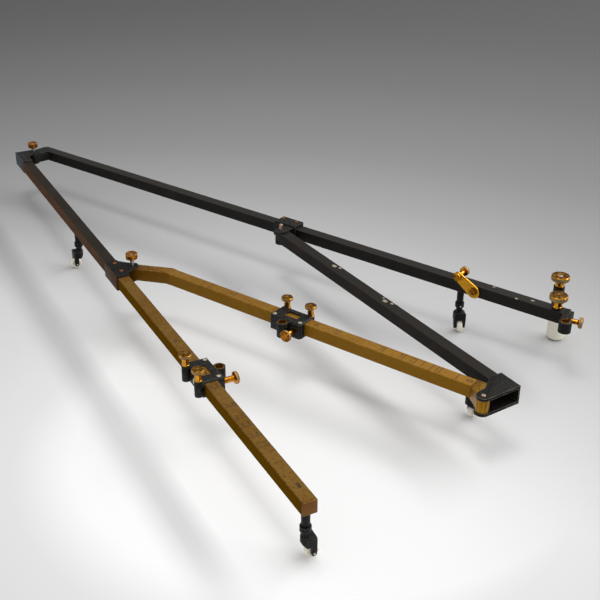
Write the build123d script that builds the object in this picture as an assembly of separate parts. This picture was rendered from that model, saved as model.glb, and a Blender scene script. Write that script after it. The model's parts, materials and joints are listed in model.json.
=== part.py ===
"""Jointed copying pantograph: four square tubes in a parallelogram, running on swivel casters.

Millimetres, +Z up.  +X runs from the apex pivot along the bisector of the two long arms.
Each bar is built in a frame of its own: x along its pivot line, y to its left, z up from the
top face of the tubes.  The frames are then set at the rest opening and the whole is centred on
its footprint, with the floor at z = 0.
"""
from build123d import *
import math
import os

# ---------------------------------------------------------------- linkage
OPENING = 25.9            # rest angle between the two long arms, degrees
NEAR_PITCH = 380.0        # apex pivot to elbow pivot on the near arm, and saddle to tie fork
FAR_PITCH = 414.8         # apex pivot to saddle pivot on the far arm, and elbow to tie fork
TRACER_REACH = 760.0      # apex pivot to tracer bore, along the far arm
NEAR_REACH = 805.0        # apex pivot to the free end of the near arm
BAR_TOP = 60.0            # floor to the top of the tubes

# ---------------------------------------------------------------- tubes
TUBE = 12.7               # square tube, across the flats
TUBE_WALL = 1.2
TUBE_CORNER = 0.6
SPIGOT = 12.0             # length of each plug inside its tube
FIT = 0.05                # radial fit of pins and plugs
NEAR_AXIS = -16.6         # tube axis beside the pivot line, near arm
FAR_AXIS = 20.7           # far arm
LINK_AXIS = 16.6          # brass link
TIE_AXIS = 1.6            # black tie, beside its saddle pivot
TIE_TURN = 4.38           # the tie tube toes out from its pivot line by this angle

# ---------------------------------------------------------------- forks, eyes and pivot pins
EAR = 1.6                 # thickness of a fork's ears
EAR_GAP = 0.1             # running clearance between an ear and the bar in it
EAR_R = 6.5
EYE_R = 6.0
PIN_R = 2.0
PIN_STAND = 9.0           # how far a pivot pin stands above the tubes
APEX_NUT_STAND = 6.8      # foot of the apex nut above the tubes
MOUTH_PLATE = 2.9         # thickness of the tie fork's plates
APEX_LEFT = 6.5           # apex fork, from the pivot back
APEX_LENGTH = 31.0        # and from the pivot forward
ELBOW_LEFT = 19.6         # elbow fork, each way from its pivot
ELBOW_RIGHT = 18.7
ELBOW_SIDE = 1.5          # how far the elbow fork stands out of the tube's outer side
SADDLE_LEFT = 20.4        # saddle, each way from its pivot
SADDLE_RIGHT = 10.8
SADDLE_RISE = 4.0         # top of the saddle above the tube
SADDLE_WALL = 1.5
SADDLE_CHAMFER = 3.0
FORK_BACK = 19.2          # tie fork, from its pivot back to the tube
FORK_FRONT = 6.0          # and from its pivot to the open mouth
SCREW_HEAD_R = 1.9
SCREW_R = 1.1
SCREW_DEPTH = 7.0
SCREW_PROUD = 0.25
COVER_SCREW_DEPTH = 4.5    # shorter screws over the carriages' clamp screws

# ---------------------------------------------------------------- capstan nuts
NUT_R = 6.2
NUT_HEIGHT = 6.9
NUT_FOOT_R = 4.2
NUT_FOOT = 0.8
NUT_CHAMFER = 0.35
NUT_DISH = 0.7
TOMMY_R = 1.25            # radial holes for a tommy bar

# ---------------------------------------------------------------- carriages
BORE_R = 4.0              # bore for a pole, pencil or tracer shank
BOSS_R = 5.6
NEAR_STATION = 603.8      # carriage bores along their bars
LINK_STATION = 198.9
SLIDE_GAP = 0.15          # sliding clearance round the tube
CARRIAGE_LENGTH = 37.0
CARRIAGE_RISE = 2.0       # cover above the tube
CARRIAGE_WALL = 1.6
CARRIAGE_CHEEK = 5.4      # thick wall between tube and bore
BOSS_TOP = 1.0            # top of the bored boss and the clamp lug, above the tubes
LUG_STAND = 1.8           # the clamp lug stands this far out of the thick wall
WINDOW = (15.5, 9.2)      # reading window over the scale, along and across
WINDOW_AT = (1.5, 0.9)    # its middle: along from the bore, and towards the bore side
INDEX_T = 0.5             # index plate in the window
KNOB_POST_R = 3.9         # posts of the two knob screws on the carriage's outer side
KNOB_POST_SIDE = 11.3     # tube axis to knob post
KNOB_SPREAD = 28.5        # between the two knob posts
KNOB_POST_TOP = 4.1       # top of the knob posts, above the tubes
KNOB_POST_FOOT = -11.6
KNOB_STEM_R = 3.2
KNOB_HEAD_R = 5.8
KNOB_HEAD = 3.4
KNOB_TOP = 16.2
KNOB_DROP = 4.6           # the link's carriage has its posts and knobs this much lower
CLAMP_STEM_R = 2.9
CLAMP_HEAD_R = 5.9
CLAMP_HEAD = 3.5
CLAMP_REACH = 28.2        # tube axis to the outside of the clamp screw's head
CLAMP_LUG = 6.5           # half width of the lug that holds the clamp screw
GIB_R = 3.6               # round gib plug between the knob posts

# ---------------------------------------------------------------- casters
POST_R = 3.6
COLLAR_R = 4.75
COLLAR_TOP = 27.8         # below the tubes' top faces, as are the next two
COLLAR_FOOT = 32.8
CROWN_TOP = 38.0
NECK_R = 3.3
JOURNAL_R = 2.0
JOURNAL = 6.0
FORK_WIDTH = 12.4
FORK_SLOT = 6.6
CROWN_R = 4.2             # crown's round back, about the swivel axis
CROWN_SHOULDER = 1.4
CROWN_GAP = 0.9           # wheel to the underside of the crown
TRAIL = 5.1               # swivel axis to wheel axle
WHEEL_R = 6.2
WHEEL_WIDTH = 5.8
AXLE_R = 1.0
LEG_R = 2.4
SET_SCREW_R = 0.9
NEAR_REAR_CASTER = 238.2  # caster posts along their bars
NEAR_END_CASTER = 7.0     # from the near arm's free end
FAR_CASTER = TRACER_REACH - 124.2
TIE_CASTER_BACK = 47.5    # from the tie fork's pivot back
CASTER_YAW = {"near_rear": 255.0, "near_end": 74.0, "far": 324.0, "tie": 80.0}

# ---------------------------------------------------------------- far end
FAR_TUBE_END = 9.0        # the far tube stops short of the tracer bore by this much
SLEEVE_R = 6.4
SLEEVE_TOP = 1.0
SLEEVE_FOOT = 10.3
JAW_SLANT = 10.0          # the split jaws lean back from square by this angle, in plan
JAW_T = 3.6               # bore line to the outside of the free jaw
JAW_REACH = 21.0          # bore to the back of the free jaw
JAW_TOP = 2.0
JAW_FOOT = 9.5
TRACER_SCREW_R = 2.6
TRACER_SCREW_AT = (9.2, -2.4)  # clamp screw behind the bore, and below the tube's top
TRACER_STEM = 7.6         # bare stem between jaw and head
TRACER_HEAD_R = 5.6
TRACER_HEAD = 3.6
TRACER_SLOT = 1.1
HEAD_KNOB_BACK = 17.7     # tracer bore back to the front knob
HEAD_KNOB_R = 9.25
HEAD_KNOB = 6.0           # thickness of both large knurled heads
HEAD_KNOB_TOP = 15.7
HEAD_COLLAR_R = 4.9
ARM_LIFT = 0.1            # outrigger arm above the tube
ARM_T = 1.6
ARM_HALF = 4.6            # half width of the outrigger arm
FOOT_REACH = 46.3         # front knob to foot
FOOT_BEARING = 111.3      # direction of the outrigger from the far arm's line, degrees
FOOT_SLEEVE_R = 5.75
FOOT_SLEEVE_TOP = ARM_LIFT + ARM_T
FOOT_SLEEVE_FOOT = 28.4
FOOT_R = 9.6
FOOT_SHIFT = (0.8, -2.9)  # the foot's middle beside its rod, along and across the outrigger
FOOT_HEIGHT = 27.0
FOOT_ROUND = 5.0
ROD_R = 2.0
FOOT_COLLAR_R = 4.85
FOOT_KNOB_R = 9.5
FOOT_KNOB_TOP = 14.2
RECESS_R = 3.4

# ---------------------------------------------------------------- lift lever
LEVER_PIVOT = (TRACER_REACH - 106.4, -6.7)     # along the far arm, and below the tube's top
LEVER_TIP = (TRACER_REACH - 125.3, 5.6)
LEVER_R = 7.0             # round the pivot
LEVER_TIP_R = 4.9
LEVER_SINK_R = 5.4        # round recess over the pivot screw
LEVER_SINK = 1.0
LEVER_T = 2.1
LEVER_GAP = 0.15
LEVER_SCREW_R = 1.6
LEVER_BOSS_R = 4.4
LEVER_BOSS = 3.2
LEVER_STEM_R = 2.2
LEVER_HEAD_R = 5.0
LEVER_HEAD_AT = 25.6      # inner face of the knurled head, beside the far arm's pivot line
LEVER_HEAD = 4.5

# ---------------------------------------------------------------- worked out from the above
HALF = TUBE / 2
INNER = TUBE - 2 * TUBE_WALL
FLOOR = -BAR_TOP
EAR_TOP = EAR_GAP + EAR
EAR_FOOT = -TUBE - EAR_GAP - EAR

PARTS = {}


def block(x0, x1, y0, y1, z0, z1):
    """Box between two corners."""
    size = Box(x1 - x0, y1 - y0, z1 - z0, align=(Align.MIN, Align.MIN, Align.MIN))
    return Pos(x0, y0, z0) * size


def rod(x, y, z0, z1, radius):
    """Upright cylinder."""
    return Pos(x, y, z0) * Cylinder(radius, z1 - z0, align=(Align.CENTER, Align.CENTER, Align.MIN))


def side_rod(x, z, y0, y1, radius):
    """Cylinder along y."""
    spot = Location((x, (y0 + y1) / 2, z), (90, 0, 0))
    return spot * Cylinder(radius, abs(y1 - y0))


def end_rod(y, z, x0, x1, radius):
    """Cylinder along x."""
    spot = Location(((x0 + x1) / 2, y, z), (0, 90, 0))
    return spot * Cylinder(radius, abs(x1 - x0))


def slab(points, z0, z1):
    """Flat plate of a plan outline."""
    face = make_face(Polyline(*points, close=True))
    return Pos(0, 0, z0) * extrude(face, z1 - z0, dir=(0, 0, 1))


def upright_plate(points, y0, y1):
    """Plate of an outline drawn in x and z, from y0 to y1."""
    face = make_face(Polyline(*[(x, y0, z) for x, z in points], close=True))
    return extrude(face, y1 - y0, dir=(0, 1, 0))


def end_plate(points, x0, x1):
    """Plate of an outline drawn in y and z, from x0 to x1."""
    face = make_face(Polyline(*[(x0, y, z) for y, z in points], close=True))
    return extrude(face, x1 - x0, dir=(1, 0, 0))


def square_tube(x0, x1, axis):
    """Hollow square tube along x."""
    plane = Plane((x0, axis, -HALF), x_dir=(0, 1, 0), z_dir=(1, 0, 0))
    ring = RectangleRounded(TUBE, TUBE, TUBE_CORNER) - Rectangle(INNER, INNER)
    return extrude(plane * ring, x1 - x0)


def plug(x0, x1, axis):
    """Square filler that fits inside a tube."""
    half = INNER / 2 - FIT
    return block(x0, x1, axis - half, axis + half, -HALF - half, -HALF + half)


def pin_hole(x, y=0.0, radius=PIN_R):
    """Through hole for a fixed pin."""
    return rod(x, y, EAR_FOOT - 1, SADDLE_RISE + 1, radius + FIT)


def ear_pair(x, side, left, right):
    """Upper and lower ear round the pivot at (x, 0), spreading to x + left and x + right at y = side."""
    outline = [(x + left, side), (x - EAR_R, 0), (x + EAR_R, 0), (x + right, side)]
    ears = None
    for z0, z1 in ((EAR_GAP, EAR_TOP), (EAR_FOOT, -TUBE - EAR_GAP)):
        ear = slab(outline, z0, z1) + rod(x, 0, z0, z1, EAR_R)
        ears = ear if ears is None else ears + ear
    return ears


def cheese_screws(spots, top, depth=SCREW_DEPTH):
    """Slotted screws let into a casting's top."""
    screws = []
    for x, y in spots:
        head = rod(x, y, top - 1.0, top + SCREW_PROUD, SCREW_HEAD_R)
        slot = block(x - SCREW_HEAD_R, x + SCREW_HEAD_R, y - 0.25, y + 0.25, top - 0.25, top + 1)
        screws.append(head + rod(x, y, top - depth, top - 1.0, SCREW_R) - slot)
    return screws


def screw_pockets(spots, top, depth=SCREW_DEPTH):
    """What the screws take out of the casting."""
    pockets = []
    for x, y in spots:
        pockets.append(rod(x, y, top - 1.0 - FIT, top + 1, SCREW_HEAD_R + FIT))
        pockets.append(rod(x, y, top - depth - FIT, top, SCREW_R + FIT))
    return pockets


def keep(name, frame, *shapes):
    """Set finished solids in their bar's frame and file them under a name."""
    solids = []
    for shape in shapes:
        solids.extend((frame * shape).solids())
    PARTS.setdefault(name, []).extend(solids)


# ---------------------------------------------------------------- bar frames
NEAR = Location((0, 0, BAR_TOP), (0, 0, -OPENING / 2))
FAR = Location((0, 0, BAR_TOP), (0, 0, OPENING / 2))
LINK = NEAR * Location((NEAR_PITCH, 0, 0), (0, 0, OPENING))
TIE = FAR * Location((FAR_PITCH, 0, 0), (0, 0, -OPENING))
TIE_TUBE = TIE * Location((0, 0, 0), (0, 0, TIE_TURN))
TIE_PIN = (NEAR_PITCH * math.cos(math.radians(TIE_TURN)),
           -NEAR_PITCH * math.sin(math.radians(TIE_TURN)))


# ---------------------------------------------------------------- casters
def caster_post(x, axis, stud_into_plug=False):
    """Fixed post: a square foot or a stud inside the tube, a round post and a journal below."""
    post = rod(x, axis, -COLLAR_TOP, -TUBE, POST_R)
    post += rod(x, axis, -COLLAR_TOP - JOURNAL, -COLLAR_TOP, JOURNAL_R)
    post += rod(x, axis, -TUBE, -HALF, PIN_R)
    if stud_into_plug:
        return post
    return post + plug(x - HALF, x + HALF, axis)


def caster_hole(x, axis):
    """Hole in a tube's or a plug's underside for a post's stud."""
    return rod(x, axis, -TUBE - 1, -HALF + 2 * FIT, PIN_R + FIT)


def caster_frame(frame, x, axis, yaw, heading):
    """Frame on the swivel axis, x along the trail."""
    return frame * Location((x, axis, 0), (0, 0, yaw - heading))


def caster_fork():
    """Swivelling fork: collar on the journal, neck, crown, two round-ended legs down to the axle."""
    axle_z = FLOOR + WHEEL_R
    top = -CROWN_TOP
    under = axle_z + WHEEL_R + CROWN_GAP
    front = TRAIL + LEG_R
    half = FORK_WIDTH / 2
    shoulder = half - CROWN_SHOULDER
    profile = [(-CROWN_R, top), (front, top), (front, axle_z), (TRAIL - LEG_R, axle_z),
               (TRAIL - LEG_R, under), (-0.3 * CROWN_R, under), (-0.8 * CROWN_R, under + 1.6),
               (-CROWN_R, under + 4.2)]
    outline = [(-shoulder, top), (shoulder, top), (half, top - CROWN_SHOULDER), (half, under),
               (half - 0.6, FLOOR), (0.6 - half, FLOOR), (-half, under), (-half, top - CROWN_SHOULDER)]
    plan = [(front, -half), (front, half), (-0.6, half), (-0.8 * CROWN_R, 2.4), (-0.8 * CROWN_R, -2.4),
            (-0.6, -half)]
    body = upright_plate(profile, -half, half) + side_rod(TRAIL, axle_z, -half, half, LEG_R)
    body = body & end_plate(outline, -CROWN_R - 1, front + 1)
    body = body & (slab(plan, FLOOR, top) + rod(0, 0, FLOOR, top, CROWN_R))
    body -= block(-30, 30, -FORK_SLOT / 2, FORK_SLOT / 2, FLOOR - 1, under)
    body += rod(0, 0, top - 0.1, -COLLAR_FOOT, NECK_R)
    body += rod(0, 0, -COLLAR_FOOT, -COLLAR_TOP - EAR_GAP, COLLAR_R)
    body -= rod(0, 0, -COLLAR_TOP - JOURNAL - 0.3, -COLLAR_TOP + 1, JOURNAL_R + FIT)
    body -= side_rod(TRAIL, axle_z, -FORK_WIDTH, FORK_WIDTH, AXLE_R + FIT)
    return body - set_screw_hole()


def set_screw_hole():
    """Radial hole through the collar."""
    return end_rod(0, -(COLLAR_TOP + JOURNAL / 2), JOURNAL_R, COLLAR_R + 1, SET_SCREW_R + FIT)


def caster_axle():
    """Riveted axle pin and the collar's set screw."""
    axle_z = FLOOR + WHEEL_R
    axle = side_rod(TRAIL, axle_z, -FORK_WIDTH / 2 - 0.3, FORK_WIDTH / 2 + 0.3, AXLE_R)
    screw = end_rod(0, -(COLLAR_TOP + JOURNAL / 2), JOURNAL_R + 0.2, COLLAR_R + 0.6, SET_SCREW_R)
    return [axle, screw]


def caster_wheel():
    """Solid wheel with a crowned tread."""
    axle_z = FLOOR + WHEEL_R
    wheel = side_rod(TRAIL, axle_z, -WHEEL_WIDTH / 2, WHEEL_WIDTH / 2, WHEEL_R)
    rims = wheel.edges().filter_by(GeomType.CIRCLE)
    wheel = fillet(rims, min(1.6, WHEEL_WIDTH * 0.3))
    return wheel - side_rod(TRAIL, axle_z, -WHEEL_WIDTH, WHEEL_WIDTH, AXLE_R + FIT)


def add_caster(name, frame, x, axis, heading):
    """One caster's swivelling pieces."""
    spot = caster_frame(frame, x, axis, CASTER_YAW[name], heading)
    keep(f"caster_{name}_fork", spot, caster_fork())
    keep(f"caster_{name}_axle", spot, *caster_axle())
    keep(f"caster_{name}_wheel", spot, caster_wheel())


# ---------------------------------------------------------------- near arm
def near_arm():
    """Root bar: black tube, brass tube, apex fork and elbow fork."""
    side = NEAR_AXIS + HALF
    out = NEAR_AXIS - HALF
    elbow_start = NEAR_PITCH - ELBOW_LEFT
    elbow_end = NEAR_PITCH + ELBOW_RIGHT
    end_caster = NEAR_REACH - NEAR_END_CASTER
    cap = 2.0

    black = square_tube(APEX_LENGTH, elbow_start, NEAR_AXIS)
    keep("near_arm_black_tube", NEAR, black - caster_hole(NEAR_REAR_CASTER, NEAR_AXIS))
    brass = square_tube(elbow_end, NEAR_REACH - cap, NEAR_AXIS)
    keep("near_arm_brass_tube", NEAR, brass - caster_hole(end_caster, NEAR_AXIS))
    end = plug(NEAR_REACH - 2 * NEAR_END_CASTER - cap, NEAR_REACH - cap, NEAR_AXIS)
    end += block(NEAR_REACH - cap, NEAR_REACH, out, side, -TUBE, 0)
    keep("near_arm_end_plug", NEAR, end - caster_hole(end_caster, NEAR_AXIS))
    keep("near_arm_caster_posts", NEAR, caster_post(NEAR_REAR_CASTER, NEAR_AXIS),
         caster_post(end_caster, NEAR_AXIS, stud_into_plug=True))

    apex = block(-APEX_LEFT, APEX_LENGTH, out, side, EAR_FOOT, EAR_TOP)
    apex += plug(APEX_LENGTH, APEX_LENGTH + SPIGOT, NEAR_AXIS)
    apex += ear_pair(0, side, -APEX_LEFT, EAR_R + 9.0)
    keep("apex_fork", NEAR, apex - pin_hole(0))

    elbow = block(elbow_start, elbow_end, out - ELBOW_SIDE, side, EAR_FOOT, EAR_TOP)
    elbow += plug(elbow_start - SPIGOT, elbow_start, NEAR_AXIS)
    elbow += plug(elbow_end, elbow_end + SPIGOT, NEAR_AXIS)
    elbow += ear_pair(NEAR_PITCH, side, 3.0 - ELBOW_LEFT, ELBOW_RIGHT - 5.0)
    spots = [(elbow_start + 6.0, side - 4.3), (elbow_end - 12.0, side - 4.1)]
    elbow -= pin_hole(NEAR_PITCH)
    for pocket in screw_pockets(spots, EAR_TOP):
        elbow -= pocket
    keep("elbow_fork", NEAR, elbow)
    keep("elbow_fork_screws", NEAR, *cheese_screws(spots, EAR_TOP))

    pins = []
    for x, foot in ((0, APEX_NUT_STAND), (NEAR_PITCH, PIN_STAND)):
        pins.append(rod(x, 0, EAR_FOOT - 0.6, foot + NUT_HEIGHT - NUT_DISH - 0.4, PIN_R))
    keep("near_arm_pivot_pins", NEAR, *pins)
    keep("apex_capstan_nut", NEAR, capstan_nut(0, APEX_NUT_STAND))
    keep("elbow_capstan_nut", NEAR, capstan_nut(NEAR_PITCH, PIN_STAND))


def capstan_nut(x, foot):
    """Round brass nut with four tommy holes and a dished top."""
    nut = rod(x, 0, foot + NUT_FOOT, foot + NUT_HEIGHT, NUT_R)
    nut = chamfer(nut.edges().filter_by(GeomType.CIRCLE), NUT_CHAMFER)
    nut += rod(x, 0, foot, foot + NUT_FOOT + 0.1, NUT_FOOT_R)
    nut -= rod(x, 0, foot - 1, foot + NUT_HEIGHT + 1, PIN_R + FIT)
    nut -= rod(x, 0, foot + NUT_HEIGHT - NUT_DISH, foot + NUT_HEIGHT + 1, NUT_R - 2.2)
    middle = foot + NUT_FOOT + (NUT_HEIGHT - NUT_FOOT) / 2 - 0.3
    for turn in (45, 135, 225, 315):
        hole = end_rod(0, middle, PIN_R + 1.4, NUT_R + 1, TOMMY_R)
        nut -= Pos(x, 0, 0) * Rot(0, 0, turn) * hole
    return nut


# ---------------------------------------------------------------- far arm
def far_arm():
    """Long black bar: crank eye at the apex, saddle in the middle, tracer head at the end."""
    back = FAR_AXIS + HALF
    front = FAR_AXIS - HALF
    start = 15.0
    end = TRACER_REACH - FAR_TUBE_END
    knob_x = TRACER_REACH - HEAD_KNOB_BACK

    tube = square_tube(start, end, FAR_AXIS) - caster_hole(FAR_CASTER, FAR_AXIS)
    tube -= rod(knob_x, FAR_AXIS, -TUBE_WALL - 0.5, 1, PIN_R + FIT)
    tube -= side_rod(LEVER_PIVOT[0], LEVER_PIVOT[1], front - 1, front + TUBE_WALL + 0.5,
                     LEVER_SCREW_R + FIT)
    keep("far_arm_tube", FAR, tube)
    keep("far_arm_caster_post", FAR, caster_post(FAR_CASTER, FAR_AXIS))

    eye_r = EYE_R + 1.0
    crank = slab([(-eye_r, 0), (-5.0, back - 4.6), (-1.0, back), (start, back), (start, front),
                  (11.0, front), (eye_r, 0)], -TUBE, 0)
    crank += rod(0, 0, -TUBE, 0, eye_r)
    crank += plug(start, start + SPIGOT, FAR_AXIS)
    keep("far_arm_crank_eye", FAR, crank - rod(0, 0, -TUBE - 1, 1, PIN_R + FIT))

    saddle()
    tracer_head(front, end, knob_x)
    outrigger(knob_x)
    lift_lever(front)


def saddle():
    """Sleeve clamped round the far tube with two ears at its front."""
    x0 = FAR_PITCH - SADDLE_LEFT
    x1 = FAR_PITCH + SADDLE_RIGHT
    front = FAR_AXIS - HALF - SADDLE_WALL
    back = FAR_AXIS + HALF + SADDLE_WALL
    sleeve = block(x0, x1, front, back, EAR_FOOT, SADDLE_RISE)
    edge = sleeve.edges().filter_by(Axis.Y).group_by(Axis.Z)[-1].sort_by(Axis.X)[0]
    sleeve = chamfer(edge, SADDLE_CHAMFER)
    half = HALF + FIT
    sleeve -= block(x0 - 1, x1 + 1, FAR_AXIS - half, FAR_AXIS + half, -TUBE - FIT, FIT)
    sleeve += ear_pair(FAR_PITCH, front + SADDLE_WALL / 2, -EAR_R - 1.5, EAR_R + 1.5)
    sleeve -= pin_hole(FAR_PITCH)
    depth = SADDLE_RISE - 0.3
    spots = [(x0 + 5.0, FAR_AXIS + 4.4), (x1 - 7.4, FAR_AXIS + 4.4)]
    for pocket in screw_pockets(spots, SADDLE_RISE, depth):
        sleeve -= pocket
    keep("far_arm_saddle", FAR, sleeve)
    keep("far_arm_saddle_screws", FAR, *cheese_screws(spots, SADDLE_RISE, depth))
    keep("saddle_pivot_pin", FAR, rod(FAR_PITCH, 0, EAR_FOOT - 0.6, PIN_STAND, PIN_R))


def tracer_head(front, end, knob_x):
    """Split tracer sleeve on the pivot line, with two jaws drawn together behind its bore."""
    back = FAR_AXIS + HALF
    lean = math.tan(math.radians(JAW_SLANT))
    slanted = Location((TRACER_REACH, 0, 0), (0, 0, JAW_SLANT))
    y, z = TRACER_SCREW_AT

    head = plug(knob_x - 7.0, end, FAR_AXIS)
    head += slab([(end, back), (end, front), (TRACER_REACH - SLEEVE_R + 0.3, 2.0), (TRACER_REACH, 0),
                  (TRACER_REACH - lean * back, back)], -TUBE, 0)
    head += rod(TRACER_REACH, 0, -SLEEVE_FOOT, SLEEVE_TOP, SLEEVE_R)
    head += slanted * block(0, JAW_T, 1.0, JAW_REACH, -JAW_FOOT, JAW_TOP)
    head += slanted * block(-JAW_T - 1.0, 0, 1.0, JAW_REACH - 7.0, -JAW_FOOT, SLEEVE_TOP)
    head -= rod(TRACER_REACH, 0, -TUBE - 1, SLEEVE_TOP + 2, BORE_R)
    head -= slanted * block(-TRACER_SLOT / 2, TRACER_SLOT / 2, 0, JAW_REACH + 9.0, -TUBE - 1, JAW_TOP + 1)
    head -= slanted * end_rod(y, z, -JAW_T - 1.0, JAW_T + 1, TRACER_SCREW_R + FIT)
    head -= rod(knob_x, FAR_AXIS, -TUBE, 1, PIN_R + FIT)
    keep("tracer_holder", FAR, head)

    screw = end_rod(y, z, -JAW_T, JAW_T + TRACER_STEM, TRACER_SCREW_R)
    disc = end_rod(y, z, JAW_T + TRACER_STEM, JAW_T + TRACER_STEM + TRACER_HEAD, TRACER_HEAD_R)
    disc = chamfer(disc.edges().filter_by(GeomType.CIRCLE), 0.5)
    keep("tracer_clamp_screw", FAR * slanted, screw + disc)


def outrigger(knob_x):
    """Swinging arm behind the bar, with the ivory foot, its rod and both knurled knobs."""
    arm_frame = FAR * Location((knob_x, FAR_AXIS, 0), (0, 0, FOOT_BEARING))
    top = ARM_LIFT + ARM_T
    stud_foot = -HALF
    knob = rod(0, 0, HEAD_KNOB_TOP - HEAD_KNOB, HEAD_KNOB_TOP, HEAD_KNOB_R)
    knob = chamfer(knob.edges().filter_by(GeomType.CIRCLE), 1.0)
    knob += rod(0, 0, top + EAR_GAP, HEAD_KNOB_TOP - HEAD_KNOB + 0.1, HEAD_COLLAR_R)
    knob += rod(0, 0, stud_foot, top + EAR_GAP, PIN_R)
    keep("front_clamp_knob", arm_frame, knob)

    arm = block(0, FOOT_REACH, -ARM_HALF, ARM_HALF, ARM_LIFT, top)
    arm += rod(0, 0, ARM_LIFT, top, ARM_HALF)
    arm += rod(FOOT_REACH, 0, -FOOT_SLEEVE_FOOT, FOOT_SLEEVE_TOP, FOOT_SLEEVE_R)
    arm -= rod(0, 0, ARM_LIFT - 1, top + 1, PIN_R + FIT)
    arm -= rod(FOOT_REACH, 0, -FOOT_SLEEVE_FOOT - 1, FOOT_SLEEVE_TOP + 1, ROD_R + FIT)
    keep("outrigger_arm", arm_frame, arm)

    foot_top = FLOOR + FOOT_HEIGHT
    foot = rod(FOOT_REACH + FOOT_SHIFT[0], FOOT_SHIFT[1], FLOOR, foot_top, FOOT_R)
    ends = foot.edges().filter_by(GeomType.CIRCLE).sort_by(Axis.Z)
    foot = fillet(ends[0], FOOT_ROUND)
    foot = fillet(foot.edges().filter_by(GeomType.CIRCLE).sort_by(Axis.Z)[-1], 0.8)
    foot -= rod(FOOT_REACH, 0, foot_top - SPIGOT, foot_top + 1, ROD_R + FIT)
    keep("ivory_foot", arm_frame, foot)
    rod_top = FOOT_KNOB_TOP - 0.4
    keep("foot_rod", arm_frame, rod(FOOT_REACH, 0, foot_top - SPIGOT, rod_top, ROD_R))

    under = FOOT_KNOB_TOP - HEAD_KNOB
    nut = rod(FOOT_REACH, 0, under, FOOT_KNOB_TOP, FOOT_KNOB_R)
    nut = chamfer(nut.edges().filter_by(GeomType.CIRCLE), 1.0)
    nut += rod(FOOT_REACH, 0, FOOT_SLEEVE_TOP + EAR_GAP, under + 0.1, FOOT_COLLAR_R)
    nut -= rod(FOOT_REACH, 0, FOOT_SLEEVE_TOP - 1, FOOT_KNOB_TOP + 1, ROD_R + FIT)
    nut -= rod(FOOT_REACH, 0, FOOT_KNOB_TOP - 1.6, FOOT_KNOB_TOP + 1, RECESS_R)
    keep("foot_knob", arm_frame, nut)


def lift_lever(front):
    """Brass lever on the far arm's front face, with its pivot screw and knurled thumbscrew."""
    px, pz = LEVER_PIVOT
    tx, tz = LEVER_TIP
    y1 = front - LEVER_GAP
    y0 = y1 - LEVER_T
    span = math.hypot(tx - px, tz - pz)
    nx = -(tz - pz) / span
    nz = (tx - px) / span
    plate = upright_plate([(px + nx * LEVER_R, pz + nz * LEVER_R),
                           (tx + nx * LEVER_TIP_R, tz + nz * LEVER_TIP_R),
                           (tx - nx * LEVER_TIP_R, tz - nz * LEVER_TIP_R),
                           (px - nx * LEVER_R, pz - nz * LEVER_R)], y0, y1)
    plate += side_rod(px, pz, y0, y1, LEVER_R) + side_rod(tx, tz, y0, y1, LEVER_TIP_R)
    plate -= side_rod(px, pz, y0 - 1, y1 + 1, LEVER_SCREW_R + FIT)
    plate -= side_rod(px, pz, y0 - 1, y0 + LEVER_SINK, LEVER_SINK_R)
    plate -= side_rod(tx, tz, y0 - 1, y1 + 1, LEVER_STEM_R + FIT)
    keep("lift_lever", FAR, plate)

    screw = side_rod(px, pz, y0, y0 + LEVER_SINK - EAR_GAP, LEVER_SINK_R - 1.5)
    screw += side_rod(px, pz, y0 + LEVER_SINK - EAR_GAP, front + SPIGOT / 2, LEVER_SCREW_R)
    keep("lift_lever_pivot_screw", FAR, screw)

    thumb = side_rod(tx, tz, y0 - LEVER_BOSS, y0 - EAR_GAP, LEVER_BOSS_R)
    thumb += side_rod(tx, tz, y0 - EAR_GAP, LEVER_HEAD_AT, LEVER_STEM_R)
    knob = side_rod(tx, tz, LEVER_HEAD_AT, LEVER_HEAD_AT + LEVER_HEAD, LEVER_HEAD_R)
    thumb += chamfer(knob.edges().filter_by(GeomType.CIRCLE), 0.6)
    keep("lift_lever_thumbscrew", FAR, thumb)


# ---------------------------------------------------------------- link and tie
def link():
    """Brass link from the elbow pivot to the tie fork: crank, tube and end eye."""
    front = LINK_AXIS - HALF
    back = LINK_AXIS + HALF
    bend = 37.0
    tube_start = bend + 6.0
    tube_end = FAR_PITCH - 17.8
    crank = slab([(-1.8, EYE_R - 0.3), (bend - 1.2, back), (tube_start, back), (tube_start, front),
                  (bend + 1.2, front), (2.6, 0.5 - EYE_R)], -TUBE, 0)
    crank += rod(0, 0, -TUBE, 0, EYE_R)
    crank += plug(tube_start, tube_start + SPIGOT, LINK_AXIS)
    keep("link_elbow", LINK, crank - rod(0, 0, -TUBE - 1, 1, PIN_R + FIT))
    keep("link_tube", LINK, square_tube(tube_start, tube_end, LINK_AXIS))

    end = slab([(tube_end, front), (tube_end, back), (FAR_PITCH - 7.5, back), (FAR_PITCH + 4.9, 3.5),
                (FAR_PITCH - 0.5, -EYE_R)], -TUBE, 0)
    end += rod(FAR_PITCH, 0, -TUBE, 0, EYE_R)
    end += plug(tube_end - SPIGOT, tube_end, LINK_AXIS)
    keep("link_end_eye", LINK, end - rod(FAR_PITCH, 0, -TUBE - 1, 1, PIN_R + FIT))


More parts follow.
